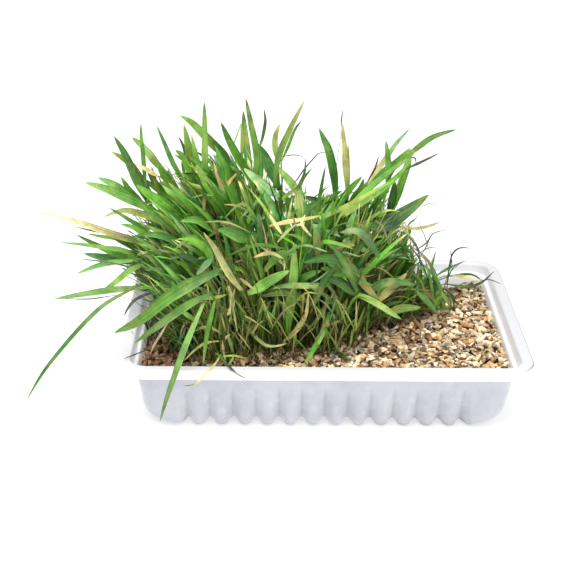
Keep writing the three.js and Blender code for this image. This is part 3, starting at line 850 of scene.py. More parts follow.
def growBlades(lines, centre):
    # every blade leaves its stem at one of the stem's joints and spreads outwards; the topmost goes up
    count, tip = manyOf(blades, centre), grass["stations"] - 1
    which = np.arange(count) % len(lines)
    top = np.arange(count) < len(lines)
    joint = np.where(top, tip, dice.integers(6, tip + 1, count))
    root = lines[which, joint]
    first = unit(root - lines[which, joint - 2])
    outX, outY = leanOf(root[:, 0], root[:, 1])
    # a stray blade crosses the others; low down at the front the blades are narrower and none is a stray
    low = (root[:, 2] < medium["level"] + 26) & (root[:, 1] < -18)
    stray = ~(top | low) & (dice.random(count) < blades["strays"])
    angle = np.arctan2(outY, outX) + dice.normal(0, 1.3, count)
    spread = dice.uniform(0.8, 2.2, count)
    loose = np.where(top | low, 0.3, 0.5)
    sideX = np.where(stray, np.cos(angle) * spread, outX * 1.45 + dice.normal(0, 1, count) * loose)
    sideY = np.where(stray, np.sin(angle) * spread, outY * 1.3 + dice.normal(0, 1, count) * loose)
    sideY = sideY * np.where(sideY < 0, 0.6, 1)
    rise = np.where(stray, dice.uniform(-0.3, 0.7, count), 1.0)
    last = unit(first * 0.35 + np.column_stack([sideX, sideY, rise]))
    full = canopy(lines[which, 0, 0], lines[which, 0, 1])
    scale = full / 72
    toTop = full + medium["level"] - root[:, 2]
    strayLength = dice.uniform(*blades["strayLength"], count)
    along = np.where(stray, strayLength, dice.uniform(*blades["length"], count)) * (0.3 + 0.7 * scale)
    upward = np.clip(toTop * dice.uniform(*blades["topGrowth"], count), *blades["topLimits"])
    kink = some(*blades["kinked"], count)
    strayDroop = dice.uniform(*blades["strayDroop"], count)
    droop = np.where(stray, strayDroop, dice.uniform(*blades["droop"], count))
    length = np.where(top, upward, along)
    leaves, shrunk = growLines(root, first, last, droop, length, kink)
    outward = np.arctan2(root[:, 1] - 4, root[:, 0] + 22) + dice.normal(0, 0.9, count)
    face = np.column_stack([np.cos(outward), np.sin(outward), dice.uniform(0.1, 1.1, count)])
    facing = unit(face)[:, None] + 0 * leaves
    facing = turnedFacing(facing, unit(np.gradient(leaves, axis=1)), dice.normal(0, blades["twist"], count))
    share = dice.random(count) ** 1.5
    width = (blades["narrowest"] + blades["wider"] * share) * (0.35 + 0.65 * scale) * np.where(low, 0.5, 1)
    width, thickness = bladeWidth(width * shrunk)
    fold = dice.uniform(*blades["fold"], count)[:, None] + 0 * width
    sections = ribbons(leaves, facing, width, thickness, fold)
    broad = smooth(0.25, 0.5, share)[:, None]
    narrow = pickColours(blades["mix"], count) * (1 - broad)
    colour = narrow + pickColours(blades["broadMix"], count) * 0.92 * broad
    dry = some(*blades["dryTips"], count)
    foot = colour * 0.6 + skinOf["base"] * 0.4
    tints = leafTints(colour, foot, dice.uniform(*blades["footShare"], count), dry)
    return sections, shaded(tints, leaves)


undergrowth = {
    "count": 44, "fewer": 0, "more": 0, "setsOut": (0.16, 0.3), "turnsTo": (0.4, 1), "length": (0.3, 1.1),
    "droop": (0, 0.75), "kinked": (0.15, 0.3, 0.8), "narrowest": 0.7, "wider": 1.3,
    "dryTips": (0.2, 0.1, 0.5), "footShare": (0.5, 1),
    "mix": {"green": 3, "deep": 2.6, "light": 1.6, "lime": 1.4, "olive": 2.4, "pale": 1, "straw": 0.7,
            "tan": 1, "brown": 1.2, "dark": 0.8},
}


def growUndergrowth(centre):  # thin upright stalks and narrow leaves between the stems
    count = manyOf(undergrowth, centre)
    root = footsOf(centre, count)
    first, last = wayUp(root, *undergrowth["setsOut"]), wayUp(root, *undergrowth["turnsTo"])
    length = canopy(root[:, 0], root[:, 1]) * dice.uniform(*undergrowth["length"], count)
    droop = dice.uniform(*undergrowth["droop"], count) ** 3
    kink = some(*undergrowth["kinked"], count)
    lines, shrunk = growLines(root, first, last, droop, length, kink)
    facing = anyFacing(lines)
    width = (undergrowth["narrowest"] + undergrowth["wider"] * dice.random(count) ** 2) * shrunk
    sections = slender(lines, facing, width, 0.8, 0.2, 0.25, 0.3)
    colour, foot = pickColours(undergrowth["mix"], count), pickColours(grass["footMix"], count)
    dry = some(*undergrowth["dryTips"], count)
    footShare = dice.uniform(*undergrowth["footShare"], count)
    return sections, shaded(leafTints(colour, foot, footShare, dry), lines)


threads = {
    "count": 7, "start": (0, 22), "length": (14, 34), "droop": (0, 0.8), "width": (0.45, 1.0),
    "mix": {"dark": 3, "brown": 2, "tan": 2, "straw": 1.2},
}


def growThreads(centre):  # withered strands that start at any height and wander about
    count = threads["count"]
    root = footsOf(centre, count)
    root = root + np.column_stack([np.zeros((count, 2)), dice.uniform(*threads["start"], count)])
    first, last = unit(dice.normal(size=(count, 3)) + (0, 0, 0.8)), unit(dice.normal(size=(count, 3)))
    length = dice.uniform(*threads["length"], count)
    droop = dice.uniform(*threads["droop"], count)
    lines, shrunk = growLines(root, first, last, droop, length, np.zeros(count))
    facing = anyFacing(lines)
    sections = slender(lines, facing, dice.uniform(*threads["width"], count) * shrunk, 0.8, 0.1, 0, 0)
    colour = pickColours(threads["mix"], count)
    return sections, shaded(leafTints(colour, colour, np.ones(count), np.zeros(count)), lines)


frontStalks = {
    # behind the front there are few of them; they stand beside the tuft and along the front line
    "count": 24, "fewBehind": 2, "beside": (-9, 9), "alongLine": (-3, 9), "setsOut": (0.2, 0.2),
    "turnsTo": (0.4, 0.6), "length": (0.2, 0.72), "curled": 0.25, "curl": (0.8, 2.4), "droop": (0, 0.3),
    "kinked": (0.25, 0.3, 0.8), "width": (0.5, 1.25), "footShare": (0.3, 1), "shade": 0.85,
    "mix": {"green": 3, "deep": 1.5, "light": 2, "lime": 2, "olive": 2.5, "pale": 0.8, "straw": 0.7,
            "tan": 0.8, "brown": 0.5, "dark": 0.4},
}


def growFrontStalks(centre):  # thin bare stalks along the clump's front, some of them curled
    atFront = centre[1] <= frontLine(centre[0]) + 15
    count = frontStalks["count"] if atFront else frontStalks["fewBehind"]
    x = centre[0] + dice.uniform(*frontStalks["beside"], count)
    y = frontLine(x) + dice.uniform(*frontStalks["alongLine"], count)
    root = np.column_stack([x, y, mediumHeight(x, y) - 0.8])
    first, last = wayUp(root, *frontStalks["setsOut"]), wayUp(root, *frontStalks["turnsTo"])
    length = dice.uniform(*frontStalks["length"], count) * (canopy(x, y) + 8)
    curled = dice.random(count) < frontStalks["curled"]
    curl = dice.uniform(*frontStalks["curl"], count)
    droop = np.where(curled, curl, dice.uniform(*frontStalks["droop"], count))
    kink = some(*frontStalks["kinked"], count)
    lines, shrunk = growLines(root, first, last, droop, length, kink)
    facing = anyFacing(lines)
    width = dice.uniform(*frontStalks["width"], count) * shrunk
    sections = slender(lines, facing, width, 0.9, 0.1, 0.25, 0.2)
    colour, foot = pickColours(frontStalks["mix"], count), pickColours(grass["footMix"], count)
    footShare = dice.uniform(*frontStalks["footShare"], count)
    return sections, leafTints(colour, foot, footShare, np.zeros(count)) * frontStalks["shade"]


def crownOf(node):  # the middle of a tuft's foot
    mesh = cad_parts[node].data
    points = np.empty(len(mesh.vertices) * 3, np.float32)
    mesh.vertices.foreach_get("co", points)
    points = points.reshape(-1, 3) / mm
    return points[points[:, 2] < points[:, 2].min() + 0.5].mean(axis=0)


def makeTuft(node):
    centre = crownOf(node)
    lines, *grownStems = growStems(centre)
    grown = [grownStems, growBlades(lines, centre)]
    grown += [grow(centre) for grow in (growUndergrowth, growThreads, growFrontStalks)]
    sections, tints = (np.concatenate(parts) for parts in zip(*grown))
    return finishPiece(leafMesh(node + "_leaves", sections, tints), leafMaterial, [node])


def leafFinish():
    # veins run along the leaf, a paler midrib down its middle, with yellowed and darker patches
    roughness = 0.46
    finish = Finish("leaf skin", Roughness=roughness, IOR=1.42)
    tint = finish.attribute("tint")
    along = finish.node("ShaderNodeUVMap", {"uv_map": "along"})
    stretched = finish.node("ShaderNodeMapping", None, {"Vector": along, "Scale": (6.0, 0.5, 1.0)})
    vein = finish.noise(1.0, 3, 0.6, stretched)
    patch = finish.noise(160, 3, 0.6)
    across = finish.node("ShaderNodeSeparateXYZ", None, {0: along}, 0)
    fromRib = (across - 0.5) * (across - 0.5)
    ribbed = finish.mix(finish.step(fromRib, 0.0, 0.004, 0.2, 0), tint, opaque(186, 208, 124))
    veined = finish.mix(finish.step(vein, 0.35, 0.65, 0.7, 0), ribbed, opaque(150, 164, 110), "MULTIPLY")
    yellowed = finish.step(finish.noise(75, 4, 0.65), 0.5, 0.78, 0, 0.5)
    aged = finish.mix(yellowed, veined, opaque(178, 168, 92))
    patchy = finish.step(patch, 0.35, 0.6, 0.6, 0)
    finish.feed("Base Color", finish.mix(patchy, aged, opaque(150, 172, 140), "MULTIPLY"))
    finish.feed("Roughness", finish.step(vein, 0.3, 0.7, roughness + 0.1, roughness - 0.08))
    finish.bump(vein, 0.35, 0.0003)
    return finish.material


leafMaterial = leafFinish()
for node in sorted(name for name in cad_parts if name.startswith("grass_tuft")):
    makeTuft(node)


print("stage: drawn leaves")

drawing = {
    "stations": 22, "foot": 0.45, "widest": 0.4, "blunt": 3.2, "fold": (0.12, 0.5),
    # the tall ones stand one behind another; painted light makes every drawn leaf brighter, those on the
    # middle plane most
    "tall": 114, "tallDepths": (-2, 30), "bright": 1.32, "plain": 1.08,
}


def spread(values, count):  # count values at even steps along these
    return np.interp(np.linspace(0, 1, count), np.linspace(0, 1, len(values)), values)


def throughPoints(points):  # a smooth curve through the points, eight places from each to the next
    p = np.array(points, float)
    spans = len(p) - 1
    p = np.vstack([2 * p[0] - p[1], p, 2 * p[-1] - p[-2]])
    u = np.append(np.arange(8 * spans) / 8, spans - 1e-6)
    n = u.astype(int)
    f = (u - n)[:, None]
    a, b, c, d = p[n], p[n + 1], p[n + 2], p[n + 3]
    second, third = 2 * a - 5 * b + 4 * c - d, 3 * b - a - 3 * c + d
    return 0.5 * (2 * b + (c - a) * f + second * f ** 2 + third * f ** 3)


def resample(points, stations):  # the same number of stations for every leaf, so that one mesh holds them
    old, new = np.linspace(0, 1, len(points)), np.linspace(0, 1, stations)
    upper = np.clip(np.searchsorted(old, new), 1, len(old) - 1)
    share = ((new - old[upper - 1]) / (old[upper] - old[upper - 1]))[:, None]
    return points[upper - 1] * (1 - share) + points[upper] * share


def rootFor(point):  # a place on the medium that a leaf passing through the point may grow from
    heartX, heartY = grass["heart"]
    x = np.clip(heartX + (point[0] - heartX) * 0.7, -78, 66)
    y = np.clip(point[1] * 0.8 + heartY, -42, 52)
    return np.array([x, y, mediumHeight(x, y) - 1])


def drawStrand(path, width, thickness, face, fold):  # one ribbon along a smooth curve through the path
    centre = resample(throughPoints(path), len(width))[None]
    facing = np.array(face, float) + 0 * centre
    return ribbons(centre, facing, width[None], thickness[None], fold + 0 * width[None])


def drawLeaf(skins, width, path, face=None, blunt=drawing["blunt"]):
    # a thin stalk from the root up to where the blade begins, and the blade through its points to its tip
    t = np.linspace(0, 1, drawing["stations"])
    if face is None:
        face = (dice.normal(0, 0.3), -0.9, dice.uniform(0.1, 0.8))
    root, *blade = (np.array(point, float) for point in path)
    foot = drawing["foot"]
    shape = (foot + (1 - foot) * smooth(0, drawing["widest"], t)) * (1 - t ** blunt) ** 0.7
    widths = width * np.maximum(shape, 0.03)
    thickness = np.minimum(widths * 0.8, 0.34)
    sections = drawStrand(blade, widths, thickness, face, dice.uniform(*drawing["fold"]))
    colours = np.array([skinOf[name] for name in skins.split()])
    tints = np.stack([spread(channel, len(t)) for channel in colours.T], -1)[None] * dice.uniform(0.88, 1.1)
    elbow = root + (blade[0] - root) * 0.6 + (0, 0, 0.12 * np.linalg.norm(blade[0] - root))
    stalk = min(width * 0.45, 1.3) * (1 - 0.3 * t)
    stalkSections = drawStrand([root, elbow, blade[0]], stalk, stalk * 0.8, (0.3, -0.9, 0.2), 0)
    # painted shade: the stalk darkens towards its root, deep in the clump
    stalkTints = (skinOf["olive"] * 0.5 + skinOf["deep"] * 0.4) * (0.4 + 0.6 * t[:, None])
    return np.concatenate([stalkSections, sections]), np.concatenate([stalkTints[None], tints])


def makeDrawnLeaves(name, plane, leaves, shade=1.0):  # shade: how dark the darkest of them is
    grown = []
    # painted light lifts every drawn leaf, the middle plane's most; shade is painted shade, a random
    # darkening down to that share
    paintedLight = drawing["bright"] if plane == 0 else drawing["plain"]
    for skins, width, depthMarks, points in leaves:
        depths = spread(np.atleast_1d(depthMarks), len(points))
        if plane == 0 and points[-1][1] > drawing["tall"]:
            depths = depths + dice.uniform(*drawing["tallDepths"])
        path = list(seenAt(np.array([(x, plane, z) for x, z in points], float), plane, depths))
        sections, tints = drawLeaf(skins, width, [rootFor(path[0])] + path)
        grown.append((sections, tints * paintedLight * (dice.uniform(shade, 1) if shade < 1 else 1)))
    sections, tints = (np.concatenate(parts) for parts in zip(*grown))
    return finishPiece(leafMesh(name + "_drawn", sections, tints), leafMaterial)


# each of these stands in for one of the part's own long leaves: root, blade's beginning, points, tip
longLeaves = {
    "leaf_far_left": ["olive mid deep mid", 2.2,
        [(-74, -8, 27), (-84, -13, 55), (-104, -28, 48), (-126, -40, 26), (-137, -47, 10)]],
    "leaf_over_front_rim": ["light green sage sage", 3.0,
        [(-50, -44, 27), (-54, -52, 63), (-58.5, -61, 55), (-62.8, -70, 46.5), (-66.8, -77, 36.5),
         (-69.8, -79, 28), (-73, -79.5, 17)]],
    "leaf_broad_left": ["deep mid green mid green", 6.0,
        [(-44, -40, 27), (-47, -48, 75.5), (-58, -50, 71), (-70, -53, 64.5), (-83, -56, 54.5),
         (-94, -58, 49.5)]],
    "leaf_low_left": ["deep green sage green", 3.9,
        [(-44, -42, 27), (-51, -52, 66.5), (-62, -55, 61.5), (-74, -58, 53.5), (-85, -60, 45.5)]],
    "leaf_straw_left": ["olive olive hay straw blush straw", 3.7,
        [(-50, 6, 27), (-74, 4, 66), (-95, 2, 72), (-117, 0, 80.5), (-135, 0, 85.2)]],
    "leaf_pale_left": ["light green light", 3.4,
        [(-72, 4, 27), (-78, -8, 51), (-98, -12, 51), (-112, -15, 50), (-127, -17, 48)]],
    "leaf_top_left": ["green light green", 3.3,
        [(-50, 10, 27), (-55, 5, 92), (-56, 4, 108), (-56, 4, 124), (-56, 3, 138.5)]],
    "leaf_top_middle": ["green green deep", 3.4,
        [(-26, -6, 27), (-32, 0, 98), (-32, 0, 114), (-34.5, 0, 128), (-37, 0, 141)]],
    "leaf_top_right": ["green light lime yellow", 3.4,
        [(-16, 8, 27), (-24, 3, 96), (-22, 3, 112), (-17, 3, 125), (-10, 2, 140)]],
    "leaf_arching_right": ["green mid deep", 3.0,
        [(6, -4, 27), (34, 6, 108), (44, 8, 116.5), (51, 9, 121), (61, 10, 124)]],
    "leaf_far_back": ["green deep", 4.4,
        [(-30, 44, 27), (-34, 58, 70), (-37, 68, 88), (-39, 78, 101), (-40, 86, 111)]],
    "leaf_right_back": ["dark dark", 1.0,
        [(62, 36, 27), (66, 40, 42), (66.3, 40, 49), (70, 41, 52.7), (77, 42, 52.4)]],
}

# seen from the front: the upright plane they are drawn on, then for each leaf its colours from foot to tip,
# its width, its depths from foot to tip or one depth for all of it, and its (x, z) points from the
# blade's beginning to the tip
drawnLeaves = {
    "left": (0, [
        ("dark", 0.9, (2, 0), [(-98, 74), (-107, 75.5), (-118, 78)]),
        ("deep green green", 2.4, (0, -4),
         [(-84, 57), (-90, 63.5), (-96, 66.5), (-104, 67.5), (-114, 69), (-125, 70)]),
        ("green", 2.3, (8, 6), [(-82, 66), (-90, 70), (-98, 72), (-105, 73), (-112, 74.5)]),
        ("green green deep", 3.4, (4, 2), [(-86, 61), (-93, 62.5), (-100, 65), (-108, 69), (-117, 74)]),
        ("blue blue", 4.8, (6, 4), [(-86, 60), (-96, 61.5), (-104, 62.5), (-114, 64.5)]),
        ("dark", 0.9, (-4, -6), [(-80, 55), (-90, 57), (-100, 59.5), (-110, 61), (-116, 61.5)]),
        ("green blue", 3.0, (-2, -6), [(-90, 61), (-100, 60), (-108, 58), (-118, 54)]),
        ("light light", 3.4, (-8, -10), [(-86, 59), (-92, 56), (-99, 50), (-107, 44)]),
        ("dark", 0.7, (-14, -17), [(-100, 43), (-112, 41), (-125, 41)]),
        ("dark", 1.6, (-14, -22), [(-80, 45), (-86, 43), (-91, 40), (-94, 36), (-96, 32)]),
        ("green mid light", 5.2, (12, 10), [(-78, 84), (-88, 90), (-95, 93.5), (-103, 97), (-112, 100)]),
        ("green green blue", 4.8, (14, 12), [(-84, 88), (-92, 93.5), (-98, 98.5), (-106, 102.5)]),
        ("deep green", 3.8, (16, 14), [(-82, 86), (-88, 92), (-91.5, 96.5), (-95, 103)]),
        ("green olive lime", 3.6, (18, 16),
         [(-79, 91), (-85, 101), (-90, 108.5), (-94, 112), (-99, 115)]),
        ("green deep deep", 4.8, (14, 12),
         [(-80, 86), (-86, 98), (-89.5, 107), (-93, 115), (-97.5, 122.5)]),
        ("dark green green", 2.3, (10, 8),
         [(-83.5, 92), (-84, 105), (-84.5, 115), (-85, 122), (-85, 129)]),
        ("deep lime pale lime", 4.2, (16, 14),
         [(-71, 102), (-78, 109), (-82, 114.5), (-86, 119), (-89.5, 122)]),
        ("tan straw", 2.2, (12, 10), [(-77.5, 103), (-82, 106), (-89, 109.7)]),
        ("green blue blue", 3.3, (20, 18),
         [(-64, 94), (-68, 104), (-71.5, 111), (-74.5, 119), (-78, 128)]),
        ("green olive light", 3.6, (6, 4), [(-72, 77), (-80, 82), (-88, 85), (-95, 86), (-104, 83)]),
        ("deep", 2.2, (2, 0), [(-80, 72), (-87, 78), (-94, 83), (-101, 87.5)]),
        ("green", 3.1, (0, -2), [(-74, 69), (-83, 74), (-89, 77.5), (-96, 79.5)]),
        ("green bright green", 6.4, (-6, 0), [(-60, 76), (-67, 82), (-74, 88), (-81, 93.5), (-88, 99)]),
        ("olive olive", 4.0, (-8, -4), [(-56, 64), (-63, 72), (-70, 79), (-78, 85)]),
        ("green light", 4.0, (-10, -6), [(-60, 60), (-67, 68), (-75, 74), (-84, 79)]),
        ("tan straw straw", 1.8, (-16, -18),
         [(-54, 60), (-60, 62.5), (-66, 65), (-74, 66), (-82, 66), (-89, 64)]),
        ("tan straw", 1.6, -14, [(-55, 60.5), (-60, 64), (-65, 68), (-71, 71.5)]),
        ("pale", 1.9, (-10, -12), [(-60, 66), (-66, 70.5), (-71, 72.5), (-78, 72.5)]),
        ("blue blue", 5.4, (-16, -20), [(-68, 44), (-71, 52), (-74, 57), (-78, 60)]),
        ("lime", 2.3, (-18, -20), [(-52, 59.5), (-60, 60), (-68, 60), (-73, 59.5), (-77, 57.5)]),
        ("deep bright green", 5.0, (-14, -16), [(-42, 73), (-48, 76), (-55, 79.5), (-61, 82), (-68, 81)]),
    ]),
    "top": (0, [
        ("blue deep light green", 4.6, (10, 8),
         [(-42, 105), (-46, 113), (-52, 119), (-58, 125.5), (-62, 129.5), (-67, 132.5)]),
        ("green olive green", 5.8, (2, 0),
         [(-57, 84), (-60, 95), (-61.5, 105), (-63, 116), (-65.3, 128.5)]),
        ("green light", 3.4, 0, [(-54, 90), (-58, 104), (-60, 113), (-62, 123.5)]),
        ("deep dark", 2.0, 8, [(-62, 103), (-64.5, 112), (-66, 118), (-68, 122.5)]),
        ("green", 3.3, 6, [(-60, 96), (-64, 108), (-66.5, 113.5), (-69.5, 116)]),
        ("green green deep", 4.8, (2, 4),
         [(-29, 94), (-36, 105.5), (-41, 114), (-45, 122), (-48.3, 129.5)]),
        ("lime", 2.0, 16, [(-39, 110), (-38.7, 118), (-38.7, 124), (-39.3, 129.5)]),
        ("lime", 0.9, 16, [(-43, 118), (-41, 123), (-39.3, 128.5)]),
        ("green blue", 5.6, 0, [(-34, 96), (-31.5, 104), (-31, 111), (-32, 120)]),
        ("green dark dark", 1.7, 8, [(-31.5, 115), (-29.3, 122), (-28.2, 128), (-28, 131), (-28.6, 136)]),
        ("deep blue deep", 5.8, (6, 4), [(-21, 97), (-25, 106), (-28, 113), (-32, 120)]),
        ("tan tan pink", 1.9, -4, [(-46, 88), (-47.5, 96), (-50, 103), (-52, 111)]),
        ("tan", 1.5, -4, [(-46.5, 97), (-44, 101.5), (-41, 105)]),
        ("blue pale pale", 5.2, -4, [(-21, 93), (-27, 97.5), (-32, 102), (-38, 107.5)]),
        ("pale", 1.4, (-8, -10), [(-42, 80), (-37, 85.5), (-32, 90.5), (-27, 94), (-21, 95.5)]),
        ("pale", 1.1, -10, [(-38, 76), (-33, 80.5), (-28, 83.3), (-24, 84.6), (-18, 83)]),
        ("green light", 6.0, (-6, -4), [(-43, 79), (-48, 88), (-54, 98), (-60, 109)]),
        ("deep green", 5.0, -2, [(-44, 84), (-49, 92), (-55, 101)]),
        ("green light", 5.0, (-4, 0), [(-52, 78), (-60, 84), (-68, 91), (-76, 99)]),
        ("deep green", 5.0, (0, 2), [(-38, 84), (-42, 92), (-45, 100), (-47, 108), (-51, 118)]),
        ("green green dark", 1.7, 2, [(-20.5, 111), (-17.5, 118), (-14.5, 126), (-11.5, 130.5)]),
        ("light yellow", 3.2, 4, [(-22, 110), (-23.5, 117), (-23.4, 123), (-21.4, 129)]),
        ("dark", 0.6, (-4, 4), [(-21, 113), (-15, 114), (-9.5, 113)]),
        ("deep", 1.3, 0, [(-14, 97), (-11, 102), (-9.5, 107), (-9.5, 113)]),
        ("dark", 0.7, 4, [(-18, 97), (-14, 101), (-10, 107), (-6, 112), (-3, 115), (4, 116)]),
        ("lime deep dark", 2.0, -2, [(-22, 91), (-17, 95), (-12.5, 98), (-10, 103), (-6, 108)]),
        ("light", 4.2, (2, 4), [(-12, 94), (-15, 99), (-18.5, 103.5), (-23, 109)]),
        ("light yellow", 5.6, (-2, 0), [(-11, 82), (-12, 90), (-13, 98)]),
        ("deep deep mid deep", 4.6, (4, 6),
         [(5, 90), (4.5, 100), (3, 109), (1, 117), (-1, 121.5), (-3.4, 127)]),
        ("light deep dark", 2.0, 0, [(-4, 80), (-3, 90), (-1.7, 99), (0, 109)]),
        ("light yellow straw yellow", 3.7, 4, [(10.5, 96), (9.8, 107), (8.8, 117), (7.2, 130.5)]),
        ("dark", 0.7, 4, [(7.1, 127), (6.9, 131), (7.5, 136.5)]),
        ("green", 1.9, 5, [(10.7, 90), (10.6, 102), (10.4, 111), (10.2, 119.5)]),
        ("straw lime lime green", 2.3, (-24, -12),
         [(-14, 79), (-4, 82.5), (5, 86.5), (15, 92), (24, 97.5), (34, 103)]),
        ("tan straw lime", 2.2, (-32, -30), [(-26, 79), (-18, 81), (-10, 82.5), (-1, 84.5)]),
        ("straw", 1.5, (-34, -33), [(-6, 74), (-10.5, 80), (-9, 85)]),
        ("straw", 1.7, (-34, -33), [(-20, 75), (-23, 80), (-26, 85)]),
        ("yellow", 1.7, (-35, -34), [(-22, 71), (-18, 76), (-13, 80.5)]),
        ("blue pale", 2.8, (-16, -18), [(-10, 80), (-3, 78.5), (2, 76.5), (8, 74)]),
        ("deep", 4.2, (-18, -20), [(-15, 79), (-9, 75), (-3, 69)]),
        ("dark", 0.6, 6, [(-9, 91), (-3, 95), (3, 100)]),
        ("green deep", 3.8, 14, [(-9, 79), (-5, 86), (1, 92), (8, 97)]),
        ("green light", 3.4, 10, [(-2, 76), (6, 83), (14, 89), (21, 93.5)]),
        ("deep green", 4.2, 18, [(-19, 80), (-11, 86), (-4, 90), (3, 92.5)]),
        ("green", 3.6, (16, 14), [(19, 80), (22.5, 88), (26.5, 95), (31, 100)]),
        ("blue green", 4.0, 16, [(-13, 76), (-15, 84), (-17, 91), (-20.5, 97)]),
        ("deep green", 3.4, 20, [(-24, 82), (-19, 88), (-14, 93), (-8, 96)]),
    ]),
    "right": (0, [
        ("lime green deep", 3.6, (-2, 4), [(5, 82), (14, 91), (22, 99), (31, 107), (41, 115)]),
        ("lime green green", 3.4, (-4, 2), [(9, 84), (18, 91), (26, 97), (33, 103.5), (39, 111)]),
        ("green", 3.6, 8, [(29, 96), (29.2, 105), (28.7, 113), (27.5, 121.5)]),
        ("straw straw pale blue", 2.8, 10, [(19, 99), (24, 107), (28, 113), (32, 119.5), (38.4, 127.4)]),
        ("brown", 1.1, 10, [(20, 102), (23, 108), (24.6, 114)]),
        ("deep green light", 4.0, 2, [(31, 84), (34, 95), (36.5, 104), (38.5, 111), (38.8, 118)]),
        ("dark deep", 4.2, 6, [(30, 85), (32, 94), (32.5, 102)]),
        ("deep dark deep", 7.8, (-10, -4),
         [(21, 79.5), (26, 80), (31.5, 82.3), (39, 87.5), (48.6, 95.2)]),
        ("hay", 0.8, -4, [(46, 89.5), (50, 91), (54, 89)]),
        ("dark", 1.5, 4, [(37, 107.5), (42, 110), (46, 112), (52.5, 115.5)]),
        ("dark", 0.9, 4, [(39, 113.3), (41.3, 113), (42, 110.5)]),
        ("deep dark dark", 1.5, -6, [(34, 78), (41, 73.5), (43.5, 70), (46, 66)]),
        ("hay hay pink", 1.7, -6, [(35, 79.3), (42, 78.3), (47, 79), (51, 80.2), (55, 82)]),
        ("dark", 0.7, 0, [(46, 64), (48.5, 69), (50.5, 74.5), (53, 76.5), (59, 78)]),
        ("hay", 0.55, 0, [(52, 62), (49.5, 69), (47.5, 75), (45.3, 79.5), (44.3, 85)]),
        ("dark", 0.7, 2, [(43, 67), (48, 70.5), (51, 75)]),
        ("dark", 0.6, 4, [(44, 65), (50, 68.5), (55, 69)]),
        ("dark", 0.6, 20, [(59, 50), (60.5, 55), (62, 58), (65, 60)]),
        ("dark", 0.6, 20, [(61.6, 58), (60.8, 64), (60, 68.5)]),
        ("deep green", 1.9, 14, [(50.5, 52), (52, 61), (53.4, 67.5)]),
        ("light pale", 3.6, -14, [(10.5, 70), (12, 79), (15, 88)]),
        ("blue pale", 3.2, -18, [(9, 72), (16, 69), (22, 65.5)]),
        ("blue pale", 3.8, (-20, -22), [(-5, 67), (1, 64.5), (7, 60), (11, 56)]),
    ]),
    "front": (-30, [
        ("green green light lime", 4.6, (-34, -36),
         [(-17, 36), (-16.3, 46), (-15.5, 56), (-14.6, 66), (-14.4, 74), (-14.8, 82)]),
        ("light light green", 3.0, -36, [(-24, 60), (-17, 61), (-8, 61), (0, 61.5), (4, 64)]),
        ("light green light", 5.0, (-40, -38),
         [(-35.5, 57), (-31, 59.5), (-26, 63), (-21, 66), (-16.5, 68.5)]),
        ("tan hay yellow", 2.0, -40, [(-32.5, 75), (-28, 76.5), (-24, 76.7), (-19, 74)]),
        ("lime", 1.7, -36, [(-31, 48), (-30, 56), (-30, 62), (-32, 66), (-34, 71.5)]),
        ("lime green", 1.3, -38, [(-25, 40), (-27, 47), (-30, 54)]),
        ("green", 1.3, -38, [(-25, 42), (-24, 47), (-21.5, 55)]),
        ("green deep yellow yellow", 1.8, (-34, -40),
         [(-41, 54), (-38, 44), (-34, 37.5), (-28, 31.5), (-23, 30.5), (-17, 32)]),
        ("lime yellow tan yellow", 2.4, (-38, -36),
         [(-19, 33), (-15, 36.5), (-11, 42), (-8.5, 48), (-7.6, 59)]),
        ("green green", 2.8, (-30, -52), [(2, 48), (0, 40), (-3.5, 32), (-6, 27), (-9.2, 21.5)]),
        ("tan", 1.8, -36, [(-1, 40.5), (3, 42), (8, 44)]),
        ("olive pale", 1.8, (-34, -32), [(-8, 39), (-3, 45), (1, 52), (4.5, 59)]),
        ("green blue pale", 4.2, (-28, -32), [(-4, 78.5), (2, 73), (6, 69), (10, 65)]),
        ("green", 3.2, (-30, -34), [(2.5, 70), (6, 64.5), (9.5, 58)]),
        ("green deep", 4.6, (-26, -28), [(-14, 88), (-8, 83.5), (-2, 78)]),
        ("deep green", 3.6, -32, [(-13, 62.5), (-8, 66), (-2, 68.5)]),
        ("pale", 0.8, -36, [(-7, 62), (-2, 65.5), (2, 69.5)]),
        ("olive hay olive", 4.6, (-26, -36), [(8, 76), (13, 68.5), (19, 60.5), (25.5, 53)]),
        ("olive olive hay", 3.8, (-34, -26), [(24, 53), (30, 60), (37, 67.5)]),
        ("green lime green", 3.2, (-32, -44),
         [(9, 58.5), (18, 55.5), (26, 51), (31, 47.5), (35.5, 44.5)]),
        ("straw straw", 2.7, -16, [(13, 70), (20, 71.2), (27, 70.8)]),
        ("olive", 1.5, -30, [(10, 37), (10.5, 45), (11, 53)]),
        ("olive light", 1.5, -28, [(14, 38), (16, 43), (18.5, 51)]),
        ("green", 1.3, -26, [(19.5, 38), (20, 46), (20, 57)]),
    ]),
    "near_left": (-30, [
        ("lime", 1.7, -46, [(-56, 54), (-50, 55), (-45, 56.5)]),
        ("green green light", 2.2, (-50, -57),
         [(-50.5, 54), (-52, 47), (-54, 39), (-55.3, 30), (-56.5, 20)]),
        ("light", 2.3, (-44, -46), [(-67, 48.5), (-62, 45), (-57.5, 42)]),
        ("yellow straw yellow", 1.4, (-46, -50), [(-49, 33), (-55, 32), (-60, 28.5), (-65.5, 22.5)]),
        ("lime yellow", 1.4, -44, [(-62, 37), (-56, 40), (-51, 39), (-45, 34.5)]),
        ("straw tan", 1.5, -44, [(-46, 23), (-47, 30), (-46, 34.5), (-43.5, 36.5)]),
        ("yellow straw", 2.3, (-40, -42),
         [(-44.5, 61), (-43, 55.5), (-42.7, 51), (-44, 47.5), (-46.5, 45.5)]),
        ("blush blush pink", 1.2, (-42, -44), [(-72.5, 42), (-76, 36), (-79, 31), (-81, 26)]),
        ("pink", 0.9, (-40, -42), [(-62, 44.5), (-65.5, 40), (-67, 35)]),
